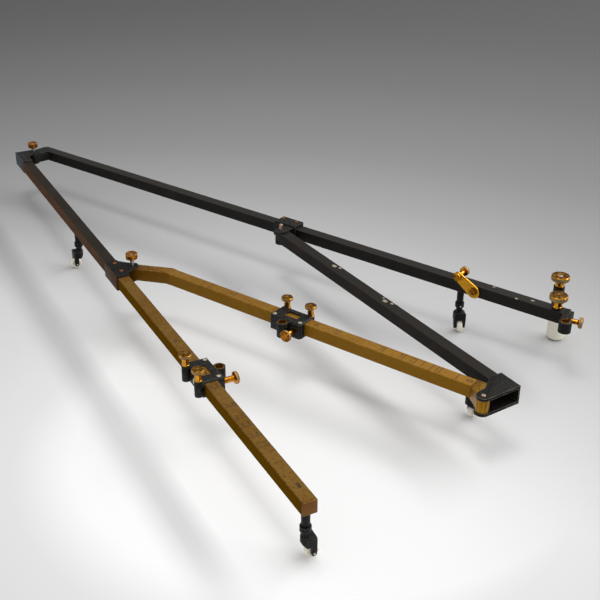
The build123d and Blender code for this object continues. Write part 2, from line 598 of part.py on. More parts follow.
def tie():
    """Short black bar from the saddle to its own open-mouthed fork."""
    start = 14.0
    end = TIE_PIN[0] - FORK_BACK
    mouth = TIE_PIN[0] + FORK_FRONT
    front = TIE_AXIS - HALF
    back = TIE_AXIS + HALF

    eye = block(-EYE_R, start, front, back, -TUBE, 0)
    corners = eye.edges().filter_by(Axis.Z).group_by(Axis.X)[0]
    eye = fillet(corners, 1.6)
    eye += plug(start, start + SPIGOT, TIE_AXIS)
    keep("tie_end_eye", TIE_TUBE, eye - rod(0, 0, -TUBE - 1, 1, PIN_R + FIT))
    caster_at = TIE_PIN[0] - TIE_CASTER_BACK
    keep("tie_tube", TIE_TUBE, square_tube(start, end, TIE_AXIS) - caster_hole(caster_at, TIE_AXIS))
    keep("tie_caster_post", TIE_TUBE, caster_post(caster_at, TIE_AXIS))

    px, py = TIE_PIN
    back_out = back + EAR_GAP + 0.4
    plates = ((EAR_GAP, EAR_GAP + MOUTH_PLATE), (-TUBE - EAR_GAP - MOUTH_PLATE, -TUBE - EAR_GAP))
    top = plates[0][1]
    foot = plates[1][0]
    outline = [(end, front), (end, back_out), (mouth, back_out), (mouth, back_out - 4.0),
               (px + EAR_R, py + 1.0), (px - EAR_R, py - 1.0), (px - EAR_R - 1.5, py + 9.0)]
    fork = None
    for z0, z1 in plates:
        plate = slab(outline, z0, z1) + rod(px, py, z0, z1, EAR_R)
        fork = plate if fork is None else fork + plate
    fork += block(end, mouth, back_out - EAR, back_out, foot, top)
    fork += block(end, end + EAR, front, back_out, foot, top)
    fork += plug(end - SPIGOT, end, TIE_AXIS)
    fork -= rod(px, py, foot - 1, top + 1, PIN_R + FIT)
    keep("tie_fork", TIE_TUBE, fork)
    keep("tie_fork_pin", TIE_TUBE, rod(px, py, foot - 0.3, top + 0.3, PIN_R))


# ---------------------------------------------------------------- carriages
def carriage(number, frame, station, axis, clamp_at, knobs_at, knob_drop=0.0):
    """Sliding carriage: sleeve, bored boss, clamp screw and two knob screws.

    It is drawn with the bore at the origin and the tube on the +y side, then mirrored for a bar
    whose tube lies on the other side of its pivot line.
    """
    flip = axis < 0
    tube_y = abs(axis)
    x0 = -CARRIAGE_LENGTH / 2 + 0.5
    x1 = CARRIAGE_LENGTH / 2 + 0.5
    inner = tube_y - HALF - CARRIAGE_CHEEK
    outer = tube_y + HALF + CARRIAGE_WALL
    foot = -TUBE - CARRIAGE_WALL
    knob_y = tube_y + KNOB_POST_SIDE
    post_top = KNOB_POST_TOP - knob_drop
    knob_top = KNOB_TOP - knob_drop
    half = HALF + SLIDE_GAP
    window_x = WINDOW_AT[0]
    window_y = tube_y - WINDOW_AT[1]
    clamp_z = -HALF

    body = block(x0, x1, inner, outer, foot, CARRIAGE_RISE)
    top_edges = body.edges().filter_by(Axis.Y).group_by(Axis.Z)[-1]
    body = chamfer(top_edges, 1.0)
    body += rod(0, 0, foot, BOSS_TOP, BOSS_R)
    body += block(-BOSS_R + 1.0, BOSS_R - 1.0, 0, inner + 1, foot, BOSS_TOP)
    lug_face = inner - LUG_STAND
    body += block(clamp_at - CLAMP_LUG, min(clamp_at + CLAMP_LUG, x1), lug_face, inner + 1, foot, BOSS_TOP)
    knob_xs = (knobs_at, knobs_at + KNOB_SPREAD)
    for x in knob_xs:
        body += rod(x, knob_y, KNOB_POST_FOOT, post_top, KNOB_POST_R)
        body += block(x - KNOB_POST_R + 0.6, x + KNOB_POST_R - 0.6, outer - 1, knob_y, KNOB_POST_FOOT,
                      min(CARRIAGE_RISE - 0.6, post_top))
    body -= block(x0 - 9, x1 + 9, tube_y - half, tube_y + half, -TUBE - SLIDE_GAP, SLIDE_GAP)
    window = block(window_x - WINDOW[0] / 2, window_x + WINDOW[0] / 2, window_y - WINDOW[1] / 2,
                   window_y + WINDOW[1] / 2, -1, CARRIAGE_RISE + 1)
    body -= window
    body -= rod(0, 0, foot - 1, 2, BORE_R)
    body -= side_rod(clamp_at, clamp_z, lug_face - 1, tube_y - half + 1, CLAMP_STEM_R + FIT)
    for x in knob_xs:
        body -= rod(x, knob_y, -HALF - FIT, post_top + 1, PIN_R + FIT)
    gib_x = sum(knob_xs) / 2
    body -= side_rod(gib_x, clamp_z, tube_y, knob_y + 9, GIB_R + FIT)
    spots = [(x0 + 3.3, inner + 2.7), (x1 - 3.3, inner + 2.7)]
    for pocket in screw_pockets(spots, CARRIAGE_RISE, COVER_SCREW_DEPTH):
        body -= pocket

    plate_y = window_y - WINDOW[1] / 2
    index = block(window_x - WINDOW[0] / 2 + FIT, window_x + WINDOW[0] / 2 - FIT, plate_y + FIT,
                  plate_y + WINDOW[1] * 0.4, SLIDE_GAP + 0.05, SLIDE_GAP + 0.05 + INDEX_T)

    clamp = side_rod(clamp_at, clamp_z, tube_y - half + 0.05, tube_y - CLAMP_REACH + CLAMP_HEAD,
                     CLAMP_STEM_R)
    disc = side_rod(clamp_at, clamp_z, tube_y - CLAMP_REACH + CLAMP_HEAD, tube_y - CLAMP_REACH,
                    CLAMP_HEAD_R)
    clamp += chamfer(disc.edges().filter_by(GeomType.CIRCLE), 0.6)

    knobs = []
    for x in knob_xs:
        stem = rod(x, knob_y, post_top + EAR_GAP, knob_top - KNOB_HEAD + 0.1, KNOB_STEM_R)
        stem += rod(x, knob_y, -HALF, post_top + EAR_GAP, PIN_R)
        head = rod(x, knob_y, knob_top - KNOB_HEAD, knob_top, KNOB_HEAD_R)
        knobs.append(stem + chamfer(head.edges().filter_by(GeomType.CIRCLE), 0.6))
    gib = side_rod(gib_x, clamp_z, tube_y + half + 0.05, outer + 1.4, GIB_R)

    spot = frame * Location((station, 0, 0))

    def seat(shape):
        """Turn a shape over to the other side of the pivot line where needed."""
        return mirror(shape, about=Plane.XZ) if flip else shape

    keep(f"carriage_{number}_body", spot, seat(body))
    keep(f"carriage_{number}_index_plate", spot, seat(index))
    fasteners = [seat(screw) for screw in cheese_screws(spots, CARRIAGE_RISE, COVER_SCREW_DEPTH)]
    keep(f"carriage_{number}_fasteners", spot, *fasteners, seat(gib))
    keep(f"carriage_{number}_clamp_screw", spot, seat(clamp))
    keep(f"carriage_{number}_rear_knob", spot, seat(knobs[0]))
    keep(f"carriage_{number}_front_knob", spot, seat(knobs[1]))


# ---------------------------------------------------------------- assembly
near_arm()
far_arm()
link()
tie()
carriage(1, NEAR, NEAR_STATION, NEAR_AXIS, clamp_at=13.5, knobs_at=-10.8)
carriage(2, LINK, LINK_STATION, LINK_AXIS, clamp_at=11.3, knobs_at=-14.8, knob_drop=KNOB_DROP)
add_caster("near_rear", NEAR, NEAR_REAR_CASTER, NEAR_AXIS, -OPENING / 2)
add_caster("near_end", NEAR, NEAR_REACH - NEAR_END_CASTER, NEAR_AXIS, -OPENING / 2)
add_caster("far", FAR, FAR_CASTER, FAR_AXIS, OPENING / 2)
add_caster("tie", TIE_TUBE, TIE_PIN[0] - TIE_CASTER_BACK, TIE_AXIS, TIE_TURN - OPENING / 2)

boxes = [solid.bounding_box() for solids in PARTS.values() for solid in solids]
CENTRE_X = (min(b.min.X for b in boxes) + max(b.max.X for b in boxes)) / 2
CENTRE_Y = (min(b.min.Y for b in boxes) + max(b.max.Y for b in boxes)) / 2

os.makedirs("parts", exist_ok=True)
for name, solids in PARTS.items():
    placed = [Pos(-CENTRE_X, -CENTRE_Y, 0) * solid for solid in solids]
    shape = placed[0] if len(placed) == 1 else Compound(children=placed)
    export_step(shape, f"parts/{name}.step")
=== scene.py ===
"""Looks for a jointed copying pantograph: enamelled and brass bars, stippled castings,
knurled brass screws and small casters with pale wheels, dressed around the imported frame.

Every length is in millimetres until it is put into a mesh, which is in metres; only the
studio round the object is given in metres.
"""
import json
import logging
import math
from dataclasses import dataclass
from enum import Enum
from typing import Optional, Sequence, Union

import bmesh
import bpy
import numpy as np
from mathutils import Matrix, Vector


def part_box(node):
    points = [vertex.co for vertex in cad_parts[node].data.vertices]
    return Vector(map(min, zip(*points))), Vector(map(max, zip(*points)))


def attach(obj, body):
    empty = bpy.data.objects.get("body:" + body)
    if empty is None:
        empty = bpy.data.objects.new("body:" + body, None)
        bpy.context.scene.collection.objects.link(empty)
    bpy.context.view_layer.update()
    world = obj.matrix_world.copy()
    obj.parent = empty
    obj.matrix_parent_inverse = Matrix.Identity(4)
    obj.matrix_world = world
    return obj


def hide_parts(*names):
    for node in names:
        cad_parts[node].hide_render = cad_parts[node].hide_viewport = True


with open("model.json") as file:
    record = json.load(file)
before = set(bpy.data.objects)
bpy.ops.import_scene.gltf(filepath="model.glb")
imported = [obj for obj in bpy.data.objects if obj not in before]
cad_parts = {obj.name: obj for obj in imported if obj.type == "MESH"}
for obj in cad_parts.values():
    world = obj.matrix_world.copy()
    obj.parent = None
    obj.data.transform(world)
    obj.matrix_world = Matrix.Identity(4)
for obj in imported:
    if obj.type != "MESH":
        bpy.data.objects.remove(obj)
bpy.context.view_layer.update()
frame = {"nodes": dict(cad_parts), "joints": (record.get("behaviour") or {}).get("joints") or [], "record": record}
LOG = logging.getLogger("pantograph")
MM = 0.001
BODY_OF = {node: body for body, nodes in frame["record"]["behaviour"]["bodies"].items()
           for node in nodes}

Pair = tuple[float, float]
Pairs = tuple[Pair, ...]
Triples = tuple[tuple[float, float, float], ...]


class Slot(Enum):
    """The record's material slots."""

    BLACK = "black_enamel"
    CAST = "stippled_casting"
    AGED = "aged_brass"
    BRIGHT = "bright_brass"
    COPPER = "copper_screw"
    STEEL = "bright_steel"
    IVORY = "ivory"


def linear(code: str) -> tuple[float, float, float, float]:
    """Scene-linear colour of a screen colour, by the usual sRGB curve.

    Args:
        code: six hexadecimal figures.

    Returns:
        Red, green, blue and an alpha of 1.
    """
    parts = np.array([int(code[i:i + 2], 16) / 255 for i in (0, 2, 4)])
    flat = np.where(parts <= 0.04045, parts / 12.92, ((parts + 0.055) / 1.055) ** 2.4)
    return (*flat.tolist(), 1.0)


# ---------------------------------------------------------------- local frames
@dataclass(frozen=True)
class Place:
    """A local frame in the model: an origin in metres and three unit directions."""

    origin: Vector
    x: Vector
    y: Vector
    z: Vector

    def put(self, points: np.ndarray) -> np.ndarray:
        """Carry millimetre points of this frame into the model, in metres."""
        turn = np.array([self.x[:], self.y[:], self.z[:]])
        return points * MM @ turn + np.array(self.origin[:])

    def moved(self, along: float, across: float = 0.0, up: float = 0.0) -> "Place":
        """The same directions from another origin, given in millimetres."""
        spot = self.origin + (self.x * along + self.y * across + self.z * up) * MM
        return Place(spot, self.x, self.y, self.z)

    def turned(self, degrees: float) -> "Place":
        """The frame turned about its own z."""
        c, s = math.cos(math.radians(degrees)), math.sin(math.radians(degrees))
        return Place(self.origin, self.x * c + self.y * s, self.y * c - self.x * s, self.z)

    def over(self, point: Vector, height: Optional[float] = None) -> "Place":
        """The same directions above a point, at a height in metres or at the frame's own."""
        z = self.origin.z if height is None else height
        return Place(Vector((point.x, point.y, z)), self.x, self.y, self.z)

    @property
    def heading(self) -> float:
        """Angle of x in plan, in radians."""
        return math.atan2(self.x.y, self.x.x)


def middle(node: str) -> Vector:
    """Middle of a CAD node's box."""
    low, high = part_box(node)
    return (low + high) / 2


def hinge(name: str, outward: float = 1.0) -> Place:
    """Frame on a hinge's axis, with z along it and x level.

    Args:
        name: the joint.
        outward: -1 to point z the other way.

    Returns:
        The frame.
    """
    joint = next(j for j in frame["joints"] if j["name"] == name)
    z = Vector(joint["axis"]).normalized() * outward
    upright = abs(z.z) >= 0.9
    x = Vector((0, 1, 0) if upright else (0, 0, 1)).cross(z).normalized()
    return Place(Vector(joint["pos_m"]), x, z.cross(x), z)


def bar(start: Vector, goal: Vector, height: float, turn: float = 0.0) -> Place:
    """Frame of a bar: x along its pivot line, z up from its top face.

    Args:
        start: the pivot it starts from.
        goal: the pivot it runs to.
        height: its top face, in metres.
        turn: how far its tube toes out from the pivot line, in degrees.

    Returns:
        The bar's frame.
    """
    run = Vector((goal.x - start.x, goal.y - start.y, 0)).normalized()
    up = Vector((0, 0, 1))
    return Place(Vector((start.x, start.y, height)), run, up.cross(run), up).turned(turn)


APEX = middle("apex_capstan_nut")
ELBOW = middle("elbow_capstan_nut")
SADDLE = middle("saddle_pivot_pin")
CORNER = middle("tie_fork_pin")
BAR_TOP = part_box("near_arm_brass_tube")[1].z
TUBE_WIDTH = 12.7
HALF = TUBE_WIDTH / 2
NEAR = bar(APEX, ELBOW, BAR_TOP)
FAR = bar(APEX, SADDLE, BAR_TOP)
LINK = bar(ELBOW, CORNER, BAR_TOP)
TIE_TOE = 4.38
TIE = bar(SADDLE, CORNER, BAR_TOP, TIE_TOE)
# How far each tube's middle runs beside its frame's x, and the tracer's distance from the apex.
NEAR_AXIS, FAR_AXIS, LINK_AXIS, TIE_AXIS = -16.6, 20.7, 16.6, 1.6
TRACER = 760.0


def level(point: Vector) -> float:
    """Height of a point above the bars' top faces, in millimetres."""
    return (point.z - BAR_TOP) / MM


# ---------------------------------------------------------------- shader maths
Feed = Union["Sock", float, int, tuple]


class Sock:
    """One output of a node, which takes part in Python arithmetic."""

    def __init__(self, graph: "Graph", made: bpy.types.Node, output: Union[int, str]) -> None:
        """Wrap an output.

        Args:
            graph: the graph that the node is in.
            made: the node.
            output: which of its outputs.
        """
        self.graph = graph
        self.made = made
        self.output = output

    @property
    def socket(self) -> bpy.types.NodeSocket:
        """The node's own socket."""
        return self.made.outputs[self.output]

    def _math(self, operation: str, *terms: Feed) -> "Sock":
        """A Math node over the terms."""
        return self.graph.node("Math", {"operation": operation}, dict(enumerate(terms)))

    def __add__(self, other: Feed) -> "Sock":
        """Sum."""
        return self._math("ADD", self, other)

    __radd__ = __add__

    def __sub__(self, other: Feed) -> "Sock":
        """Difference."""
        return self._math("SUBTRACT", self, other)

    def __rsub__(self, other: Feed) -> "Sock":
        """Difference, the other way round."""
        return self._math("SUBTRACT", other, self)

    def __mul__(self, other: Feed) -> "Sock":
        """Product."""
        return self._math("MULTIPLY", self, other)

    __rmul__ = __mul__

    def __truediv__(self, other: Feed) -> "Sock":
        """Quotient."""
        return self._math("DIVIDE", self, other)

    def __rtruediv__(self, other: Feed) -> "Sock":
        """Quotient, the other way round."""
        return self._math("DIVIDE", other, self)

    def __abs__(self) -> "Sock":
        """Size without sign."""
        return self._math("ABSOLUTE", self)

    def lower(self, other: Feed) -> "Sock":
        """The smaller of two."""
        return self._math("MINIMUM", self, other)

    def higher(self, other: Feed) -> "Sock":
        """The larger of two."""
        return self._math("MAXIMUM", self, other)

    def step(self, start: float, end: float) -> "Sock":
        """Smooth step: 0 before start and 1 after end."""
        return self.graph.node("MapRange", {"interpolation_type": "SMOOTHSTEP", "clamp": True},
                               {0: self, 1: start, 2: end, 3: 0.0, 4: 1.0})


class Graph:
    """The node tree of one material or of the world."""

    def __init__(self, owner: Union[bpy.types.Material, bpy.types.World]) -> None:
        """Clear the owner's tree.

        Args:
            owner: the material or world.
        """
        owner.use_nodes = True
        self.owner = owner
        self.tree = owner.node_tree
        self.tree.nodes.clear()

    def node(self, kind: str, settings: Optional[dict] = None, values: Optional[dict] = None,
             output: Union[int, str] = 0) -> Sock:
        """Make one node.

        Args:
            kind: its type, without the ShaderNode in front.
            settings: its properties; "stops" are a ramp's positions and colours.
            values: what its inputs hold, a number or a Sock, by name or index.
            output: which output to hand back.

        Returns:
            The wrapped output.
        """
        made = self.tree.nodes.new("ShaderNode" + kind)
        for name, value in (settings or {}).items():
            if name == "stops":
                ramp = made.color_ramp.elements
                while len(ramp) < len(value):
                    ramp.new(1.0)
                for stop, (position, colour) in zip(ramp, value):
                    stop.position = position
                    stop.color = colour
            else:
                setattr(made, name, value)
        for key, value in (values or {}).items():
            if isinstance(value, Sock):
                self.tree.links.new(value.socket, made.inputs[key])
            else:
                made.inputs[key].default_value = value
        return Sock(self, made, output)

    def local(self, at: Optional[Place] = None, stretch: Sequence[float] = (1, 1, 1)) -> Sock:
        """Object coordinates in millimetres, in a local frame whose z is up.

        Args:
            at: the frame, or None for the model's own.
            stretch: how much longer the pattern runs along each direction.

        Returns:
            The coordinates.
        """
        spot = self.node("TexCoord", output="Object")
        scale = tuple(MM * s for s in stretch)
        origin = at.origin if at else (0, 0, 0)
        turn = (0, 0, at.heading if at else 0)
        return self.node("Mapping", {"vector_type": "TEXTURE"},
                         {"Vector": spot, "Location": origin, "Rotation": turn, "Scale": scale})

    def split(self, vector: Sock) -> tuple[Sock, Sock, Sock]:
        """The three parts of a vector."""
        made = self.node("SeparateXYZ", values={0: vector})
        return made, Sock(self, made.made, 1), Sock(self, made.made, 2)

    def noise(self, at: Sock, scale: float, detail: float = 2.0, rough: float = 0.5,
              twist: float = 0.0) -> Sock:
        """Soft noise.

        Args:
            at: coordinates.
            scale: features for each millimetre.
            detail: octaves.
            rough: how strong the finer octaves are.
            twist: distortion.

        Returns:
            A value around a half.
        """
        return self.node("TexNoise", {"noise_dimensions": "3D"},
                         {"Vector": at, "Scale": scale, "Detail": detail, "Roughness": rough,
                          "Distortion": twist})

    def bands(self, at: Sock) -> Sock:
        """Soft noise along one number, which leaves bands."""
        return self.node("TexNoise", {"noise_dimensions": "1D"},
                         {"W": at, "Scale": 1.0, "Detail": 2.0})

    def cells(self, at: Sock, scale: float) -> Sock:
        """Distance to the nearest of scattered points."""
        return self.node("TexVoronoi", {"feature": "F1"}, {"Vector": at, "Scale": scale})

    def blend(self, share: Feed, first: Feed, second: Feed, way: str = "MIX") -> Sock:
        """Mix two colours."""
        return self.node("Mix", {"data_type": "RGBA", "blend_type": way, "clamp_factor": True},
                         {0: share, 6: first, 7: second}, output=2)

    def bump(self, height: Sock, depth: float, strength: float) -> Sock:
        """Normal of a relief whose 1 stands for a depth in millimetres, by a share of it."""
        return self.node("Bump", values={"Height": height, "Distance": depth * MM,
                                         "Strength": strength})

    def attribute(self, name: str) -> Sock:
        """A number kept on the mesh."""
        return self.node("Attribute", {"attribute_type": "GEOMETRY", "attribute_name": name},
                         output="Fac")

    def corners(self, across: Sock, up: Sock, axis: float, start: float) -> Sock:
        """Mask of a square tube's long corners: both distances from its middle are large.

        Args:
            across: the part of the coordinates across the bar.
            up: the part above its top face.
            axis: where the tube's middle runs.
            start: share of the half width at which the mask begins.

        Returns:
            1 on the corners and 0 on the flats.
        """
        side = abs((across - axis) / HALF)
        rise = abs((up + HALF) / HALF)
        return side.lower(rise).step(start, 1.0)

    def worn_edges(self, radius: float, reach: float) -> Sock:
        """Mask of sharp edges, for wear and painted highlight: how far a rounded normal leans from the true one.

        Args:
            radius: how far from an edge the rounding starts, in millimetres.
            reach: the lean at which the mask is full.

        Returns:
            The mask.
        """
        rounded = self.node("Bevel", {"samples": 4}, {"Radius": radius * MM})
        true = self.node("NewGeometry", output="Normal")
        match = self.node("VectorMath", {"operation": "DOT_PRODUCT"}, {0: rounded, 1: true},
                          output="Value")
        return (1.0 - match).step(0.0, reach)

    def surface(self, **values: Feed) -> None:
        """Finish with one principled shader.

        Args:
            values: its inputs, with _ for a space.
        """
        shader = self.node("BsdfPrincipled",
                           values={name.replace("_", " "): held for name, held in values.items()})
        self.node("OutputMaterial", values={"Surface": shader})


# ---------------------------------------------------------------- finishes
@dataclass(frozen=True)
class Finish:
    """A named finish, made for a bar's frame; its colours are six-figure codes."""

    name: str
    slot: Slot

    def material(self, at: Optional[Place] = None) -> bpy.types.Material:
        """The finish as a material, made once for each direction that its pattern takes.

        Args:
            at: the frame that the pattern is lined up with, or None for the model's own.

        Returns:
            The material.
        """
        key = self.name if at is None else f"{self.name}_{round(math.degrees(at.heading))}"
        found = bpy.data.materials.get(key)
        if found:
            return found
        graph = Graph(bpy.data.materials.new(key))
        self.paint(graph, at)
        return graph.owner

    def paint(self, graph: Graph, at: Optional[Place]) -> None:
        """Lay the nodes out."""
        raise NotImplementedError


@dataclass(frozen=True)
class Enamel(Finish):
    """Old stoved black enamel on a square tube, rubbed brown at its corners and chipped; its sides
    are painted darker than its top as painted shade.

    A chip is its place along and across the bar and its size, in millimetres.
    """

    axis: float = 0.0
    top: str = "23211d"
    flank: str = "0c0b09"
    smoke: str = "1b1612"
    dust: str = "2b251e"
    rubbed: str = "3d2613"
    rusty: str = "5e3a1c"
    bared: str = "9c927c"
    brown: float = 0.25
    outer_rust: float = 0.0
    gloss: float = 0.25
    chips: Triples = ()

    def paint(self, graph: Graph, at: Optional[Place]) -> None:
        """Black ground with painted shade on the sides, brown rubs, pale chips at given places, fine orange peel.

        Args:
            graph: the material's tree.
            at: the bar's frame.
        """
        spot = graph.local(at)
        along, across, up = graph.split(spot)
        corner = graph.corners(across, up, self.axis, 0.86)
        patch = graph.noise(spot, 0.035, 4.0, 0.6)
        streak = graph.noise(graph.local(at, (14, 1, 1)), 0.55, 3.0, 0.6)
        fleck = graph.noise(spot, 1.1, 4.0, 0.65)
        # Painted shade: the sides are painted darker than the top face.
        ground = graph.blend(up.step(-0.8, -0.2), linear(self.flank), linear(self.top))
        ground = graph.blend(patch.step(0.35, 0.7) * 0.5, ground, linear(self.smoke))
        ground = graph.blend(streak.step(0.5, 0.8) * 0.45, ground, linear(self.dust))
        worn = corner * fleck.step(0.35, 0.62) * 0.5
        rub = (patch.step(0.45, 0.75) * self.brown + worn).lower(1.0)
        colour = graph.blend(rub, ground, linear(self.rubbed))
        outer = (across - (self.axis - HALF)).step(0.7, 0.2)
        rust = outer * (0.35 + 0.65 * streak.step(0.3, 0.62)) * self.outer_rust
        colour = graph.blend(rust, colour, linear(self.rusty))
        bare: Feed = corner * fleck.step(0.66, 0.72) * patch.step(0.5, 0.62)
        for x, y, size in self.chips:
            dx, dy = (along - x) / size, (across - y) / (size * 0.7)
            near = 1.0 - (dx * dx + dy * dy + (fleck - 0.5) * 2.2)
            bare = bare.higher(near.step(0.0, 0.25) * (up + 1.2).step(0.2, 0.9))
        colour = graph.blend(bare, colour, linear(self.bared))
        rough = 0.4 + 0.16 * patch + 0.1 * fleck + 0.2 * bare
        relief = graph.noise(spot, 1.6, 3.0, 0.6) * 0.6 + streak * 0.4 - bare * 0.6
        graph.surface(Base_Color=colour, Roughness=rough, Metallic=0.0,
                      Specular_IOR_Level=self.gloss, Normal=graph.bump(relief, 0.05, 0.6))


@dataclass(frozen=True)
class AgedBrass(Finish):
    """Lacquered brass gone brown: rolled lengthwise grain, stains, darker corners and painted shade on its sides.
    """

    axis: float = 0.0
    pale: str = "a07c3c"
    dark: str = "6d4f20"
    warm: str = "9a6a2a"
    flank: str = "6b4a0e"
    drawn: str = "54380f"
    stained: str = "3a260c"
    handled: str = "4f3209"
    lit: str = "c58f37"
    cover: float = 0.8
    glow: float = 0.0
    reach: float = 400.0
    gloss: float = 0.3
    dull: float = 0.3

    def paint(self, graph: Graph, at: Optional[Place]) -> None:
        """Mottled brass, grain along the bar, tarnish specks, painted side shade and end highlight.

        Args:
            graph: the material's tree.
            at: the bar's frame.
        """
        spot = graph.local(at)
        along, across, up = graph.split(spot)
        grain = graph.noise(graph.local(at, (30, 1, 1)), 1.4, 5.0, 0.7)
        patch = graph.noise(spot, 0.045, 5.0, 0.62, 0.4)
        mottle = graph.noise(spot, 0.32, 4.0, 0.6)
        speck = graph.cells(spot, 0.28)
        corner = graph.corners(across, up, self.axis, 0.84)
        colour = graph.blend(patch.step(0.3, 0.72), linear(self.pale), linear(self.warm))
        colour = graph.blend(mottle.step(0.38, 0.75) * 0.55, colour, linear(self.dark))
        colour = graph.blend(grain.step(0.45, 0.85) * 0.35, colour, linear(self.drawn))
        stain = (1.0 - speck.step(0.04, 0.3)) * mottle.step(0.48, 0.6)
        colour = graph.blend(stain * 0.7, colour, linear(self.stained))
        colour = graph.blend(corner * mottle.step(0.3, 0.6) * 0.6, colour, linear(self.handled))
        # Painted highlight: the colour brightens towards the bar's end, as if lit there.
        if self.glow:
            painted_highlight_share = (along / self.reach).step(0.1, 1.0)
            colour = graph.blend(painted_highlight_share * self.glow, colour, linear(self.lit))
        # Painted shade: the sides below the top face are painted darker and made less metallic.
        low = up.step(-0.25, -0.8) * self.cover
        colour = graph.blend(low * (0.85 + 0.15 * mottle), colour, linear(self.flank))
        rough = 0.36 + 0.14 * mottle + 0.16 * grain + 0.15 * stain
        relief = grain * 0.6 + mottle * 0.4
        graph.surface(Base_Color=colour, Roughness=rough, Metallic=0.72 - self.dull * low,
                      Specular_IOR_Level=self.gloss, Normal=graph.bump(relief, 0.02, 0.5))


@dataclass(frozen=True)
class Casting(Finish):
    """Gunmetal casting with a stippled black finish, its edges lighter as rubbed wear and painted highlight."""

    ground: str = "0e1013"
    top: str = "191816"
    pit: str = "050607"
    edge: str = "625d52"
    stipple: float = 0.16
    fleck: float = 0.5
    gloss: float = 0.22
    side_tint: Optional[str] = None
    outer: float = 0.0

    def paint(self, graph: Graph, at: Optional[Place]) -> None:
        """Fine stipple, cloudy patches, edges lightened by wear and painted highlight, a tint beyond the outer
        side.

        Args:
            graph: the material's tree.
            at: the bar's frame.
        """
        spot = graph.local(at)
        grit = graph.cells(spot, 0.55)
        fine = graph.noise(spot, 0.62, 3.0, 0.7)
        patch = graph.noise(spot, 0.09, 3.0, 0.6)
        # Edges lightened as rubbed wear and as painted highlight.
        edge = graph.worn_edges(0.7, 0.1) * fine.step(0.34, 0.56)
        colour = graph.blend(patch, linear(self.ground), linear(self.top))
        colour = graph.blend(grit.step(0.3, 0.6) * 0.8, colour, linear(self.pit))
        colour = graph.blend(fine.step(0.54, 0.66) * self.fleck, colour, linear(self.edge))
        if self.side_tint:
            beyond = (graph.split(spot)[1] - self.outer).step(1.0, 0.0)
            colour = graph.blend(beyond * (0.6 + 0.4 * patch), colour, linear(self.side_tint))
        colour = graph.blend(edge * 0.85, colour, linear(self.edge))
        rough = 0.46 + 0.14 * fine - 0.1 * edge
        relief = grit * 0.7 + fine * 0.3
        graph.surface(Base_Color=colour, Roughness=rough, Metallic=0.1,
                      Specular_IOR_Level=self.gloss,
                      Normal=graph.bump(relief, self.stipple, 0.7))


@dataclass(frozen=True)
class TurnedBrass(Finish):
    """Bright turned brass, lacquer gone orange, green in the knurling, painted shade and sheen on its face."""

    light: str = "d9962c"
    deep: str = "a2661a"
    shade: str = "573808"
    burnt: str = "4a2c0a"
    green: str = "77745a"
    verdigris: float = 0.9
    sheen: float = 0.15

    def paint(self, graph: Graph, at: Optional[Place]) -> None:
        """Mottled lacquer, lathe rings, grey-green knurled rim, painted shade and radial painted sheen on the
        face.

        Args:
            graph: the material's tree.
            at: not used, because the pattern follows the piece's own chart.
        """
        patch = graph.noise(graph.local(), 0.22, 4.0, 0.6)
        around, length, _ = graph.split(graph.node("UVMap", {"uv_map": "turned"}))
        ring, painted_sheen_lobe = graph.bands(length * 9.0), graph.bands(around * 9.0)
        rim, groove, face = (graph.attribute(name) for name in ("rim", "groove", "face"))
        colour = graph.blend(patch.step(0.35, 0.7), linear(self.light), linear(self.deep))
        # Painted shade on the head's face, broken into radial lobes of painted sheen.
        shade = face * (0.45 + 0.55 * painted_sheen_lobe.step(0.42, 0.6)) * 0.9
        colour = graph.blend(shade, colour, linear(self.shade))
        colour = graph.blend(face * patch.step(0.52, 0.62) * 0.7, colour, linear(self.burnt))
        green = rim * self.verdigris * (0.55 + 0.45 * groove)
        colour = graph.blend(green, colour, linear(self.green))
        rough = self.sheen + 0.1 * patch + 0.1 * face + 0.3 * green
        relief = ring * 0.5 + patch * 0.5
        graph.surface(Base_Color=colour, Roughness=rough, Metallic=1.0 - 0.6 * green,
                      Normal=graph.bump(relief, 0.02, 0.5))


@dataclass(frozen=True)
class SmoothMetal(Finish):
    """Plain worked metal: fine scratches over a mottled tone."""

    light: str = "c9ccca"
    deep: str = "8d9190"
    sheen: float = 0.22
    scratch: float = 0.02
    streak: float = 1.0

    def paint(self, graph: Graph, at: Optional[Place]) -> None:
        """Two tones, which can be drawn out upwards, with scratches and edges lightened by wear and painted
        highlight.

        Args:
            graph: the material's tree.
            at: the bar's frame.
        """
        # Drawn out upwards, as on the link's eye, the two tones make streaks of painted highlight.
        patch = graph.noise(graph.local(at, (1, 1, self.streak)), 0.5, 4.0, 0.6)
        scratch = graph.noise(graph.local(at, (9, 1, 1)), 3.5, 3.0, 0.7)
        # Edges lightened as wear and as painted highlight.
        edge = graph.worn_edges(0.3, 0.2)
        colour = graph.blend(patch.step(0.3, 0.75), linear(self.light), linear(self.deep))
        colour = graph.blend(edge * 0.5, colour, linear(self.light))
        rough = self.sheen + 0.14 * patch + 0.1 * scratch
        graph.surface(Base_Color=colour, Roughness=rough, Metallic=1.0,
                      Normal=graph.bump(scratch, self.scratch, 0.6))


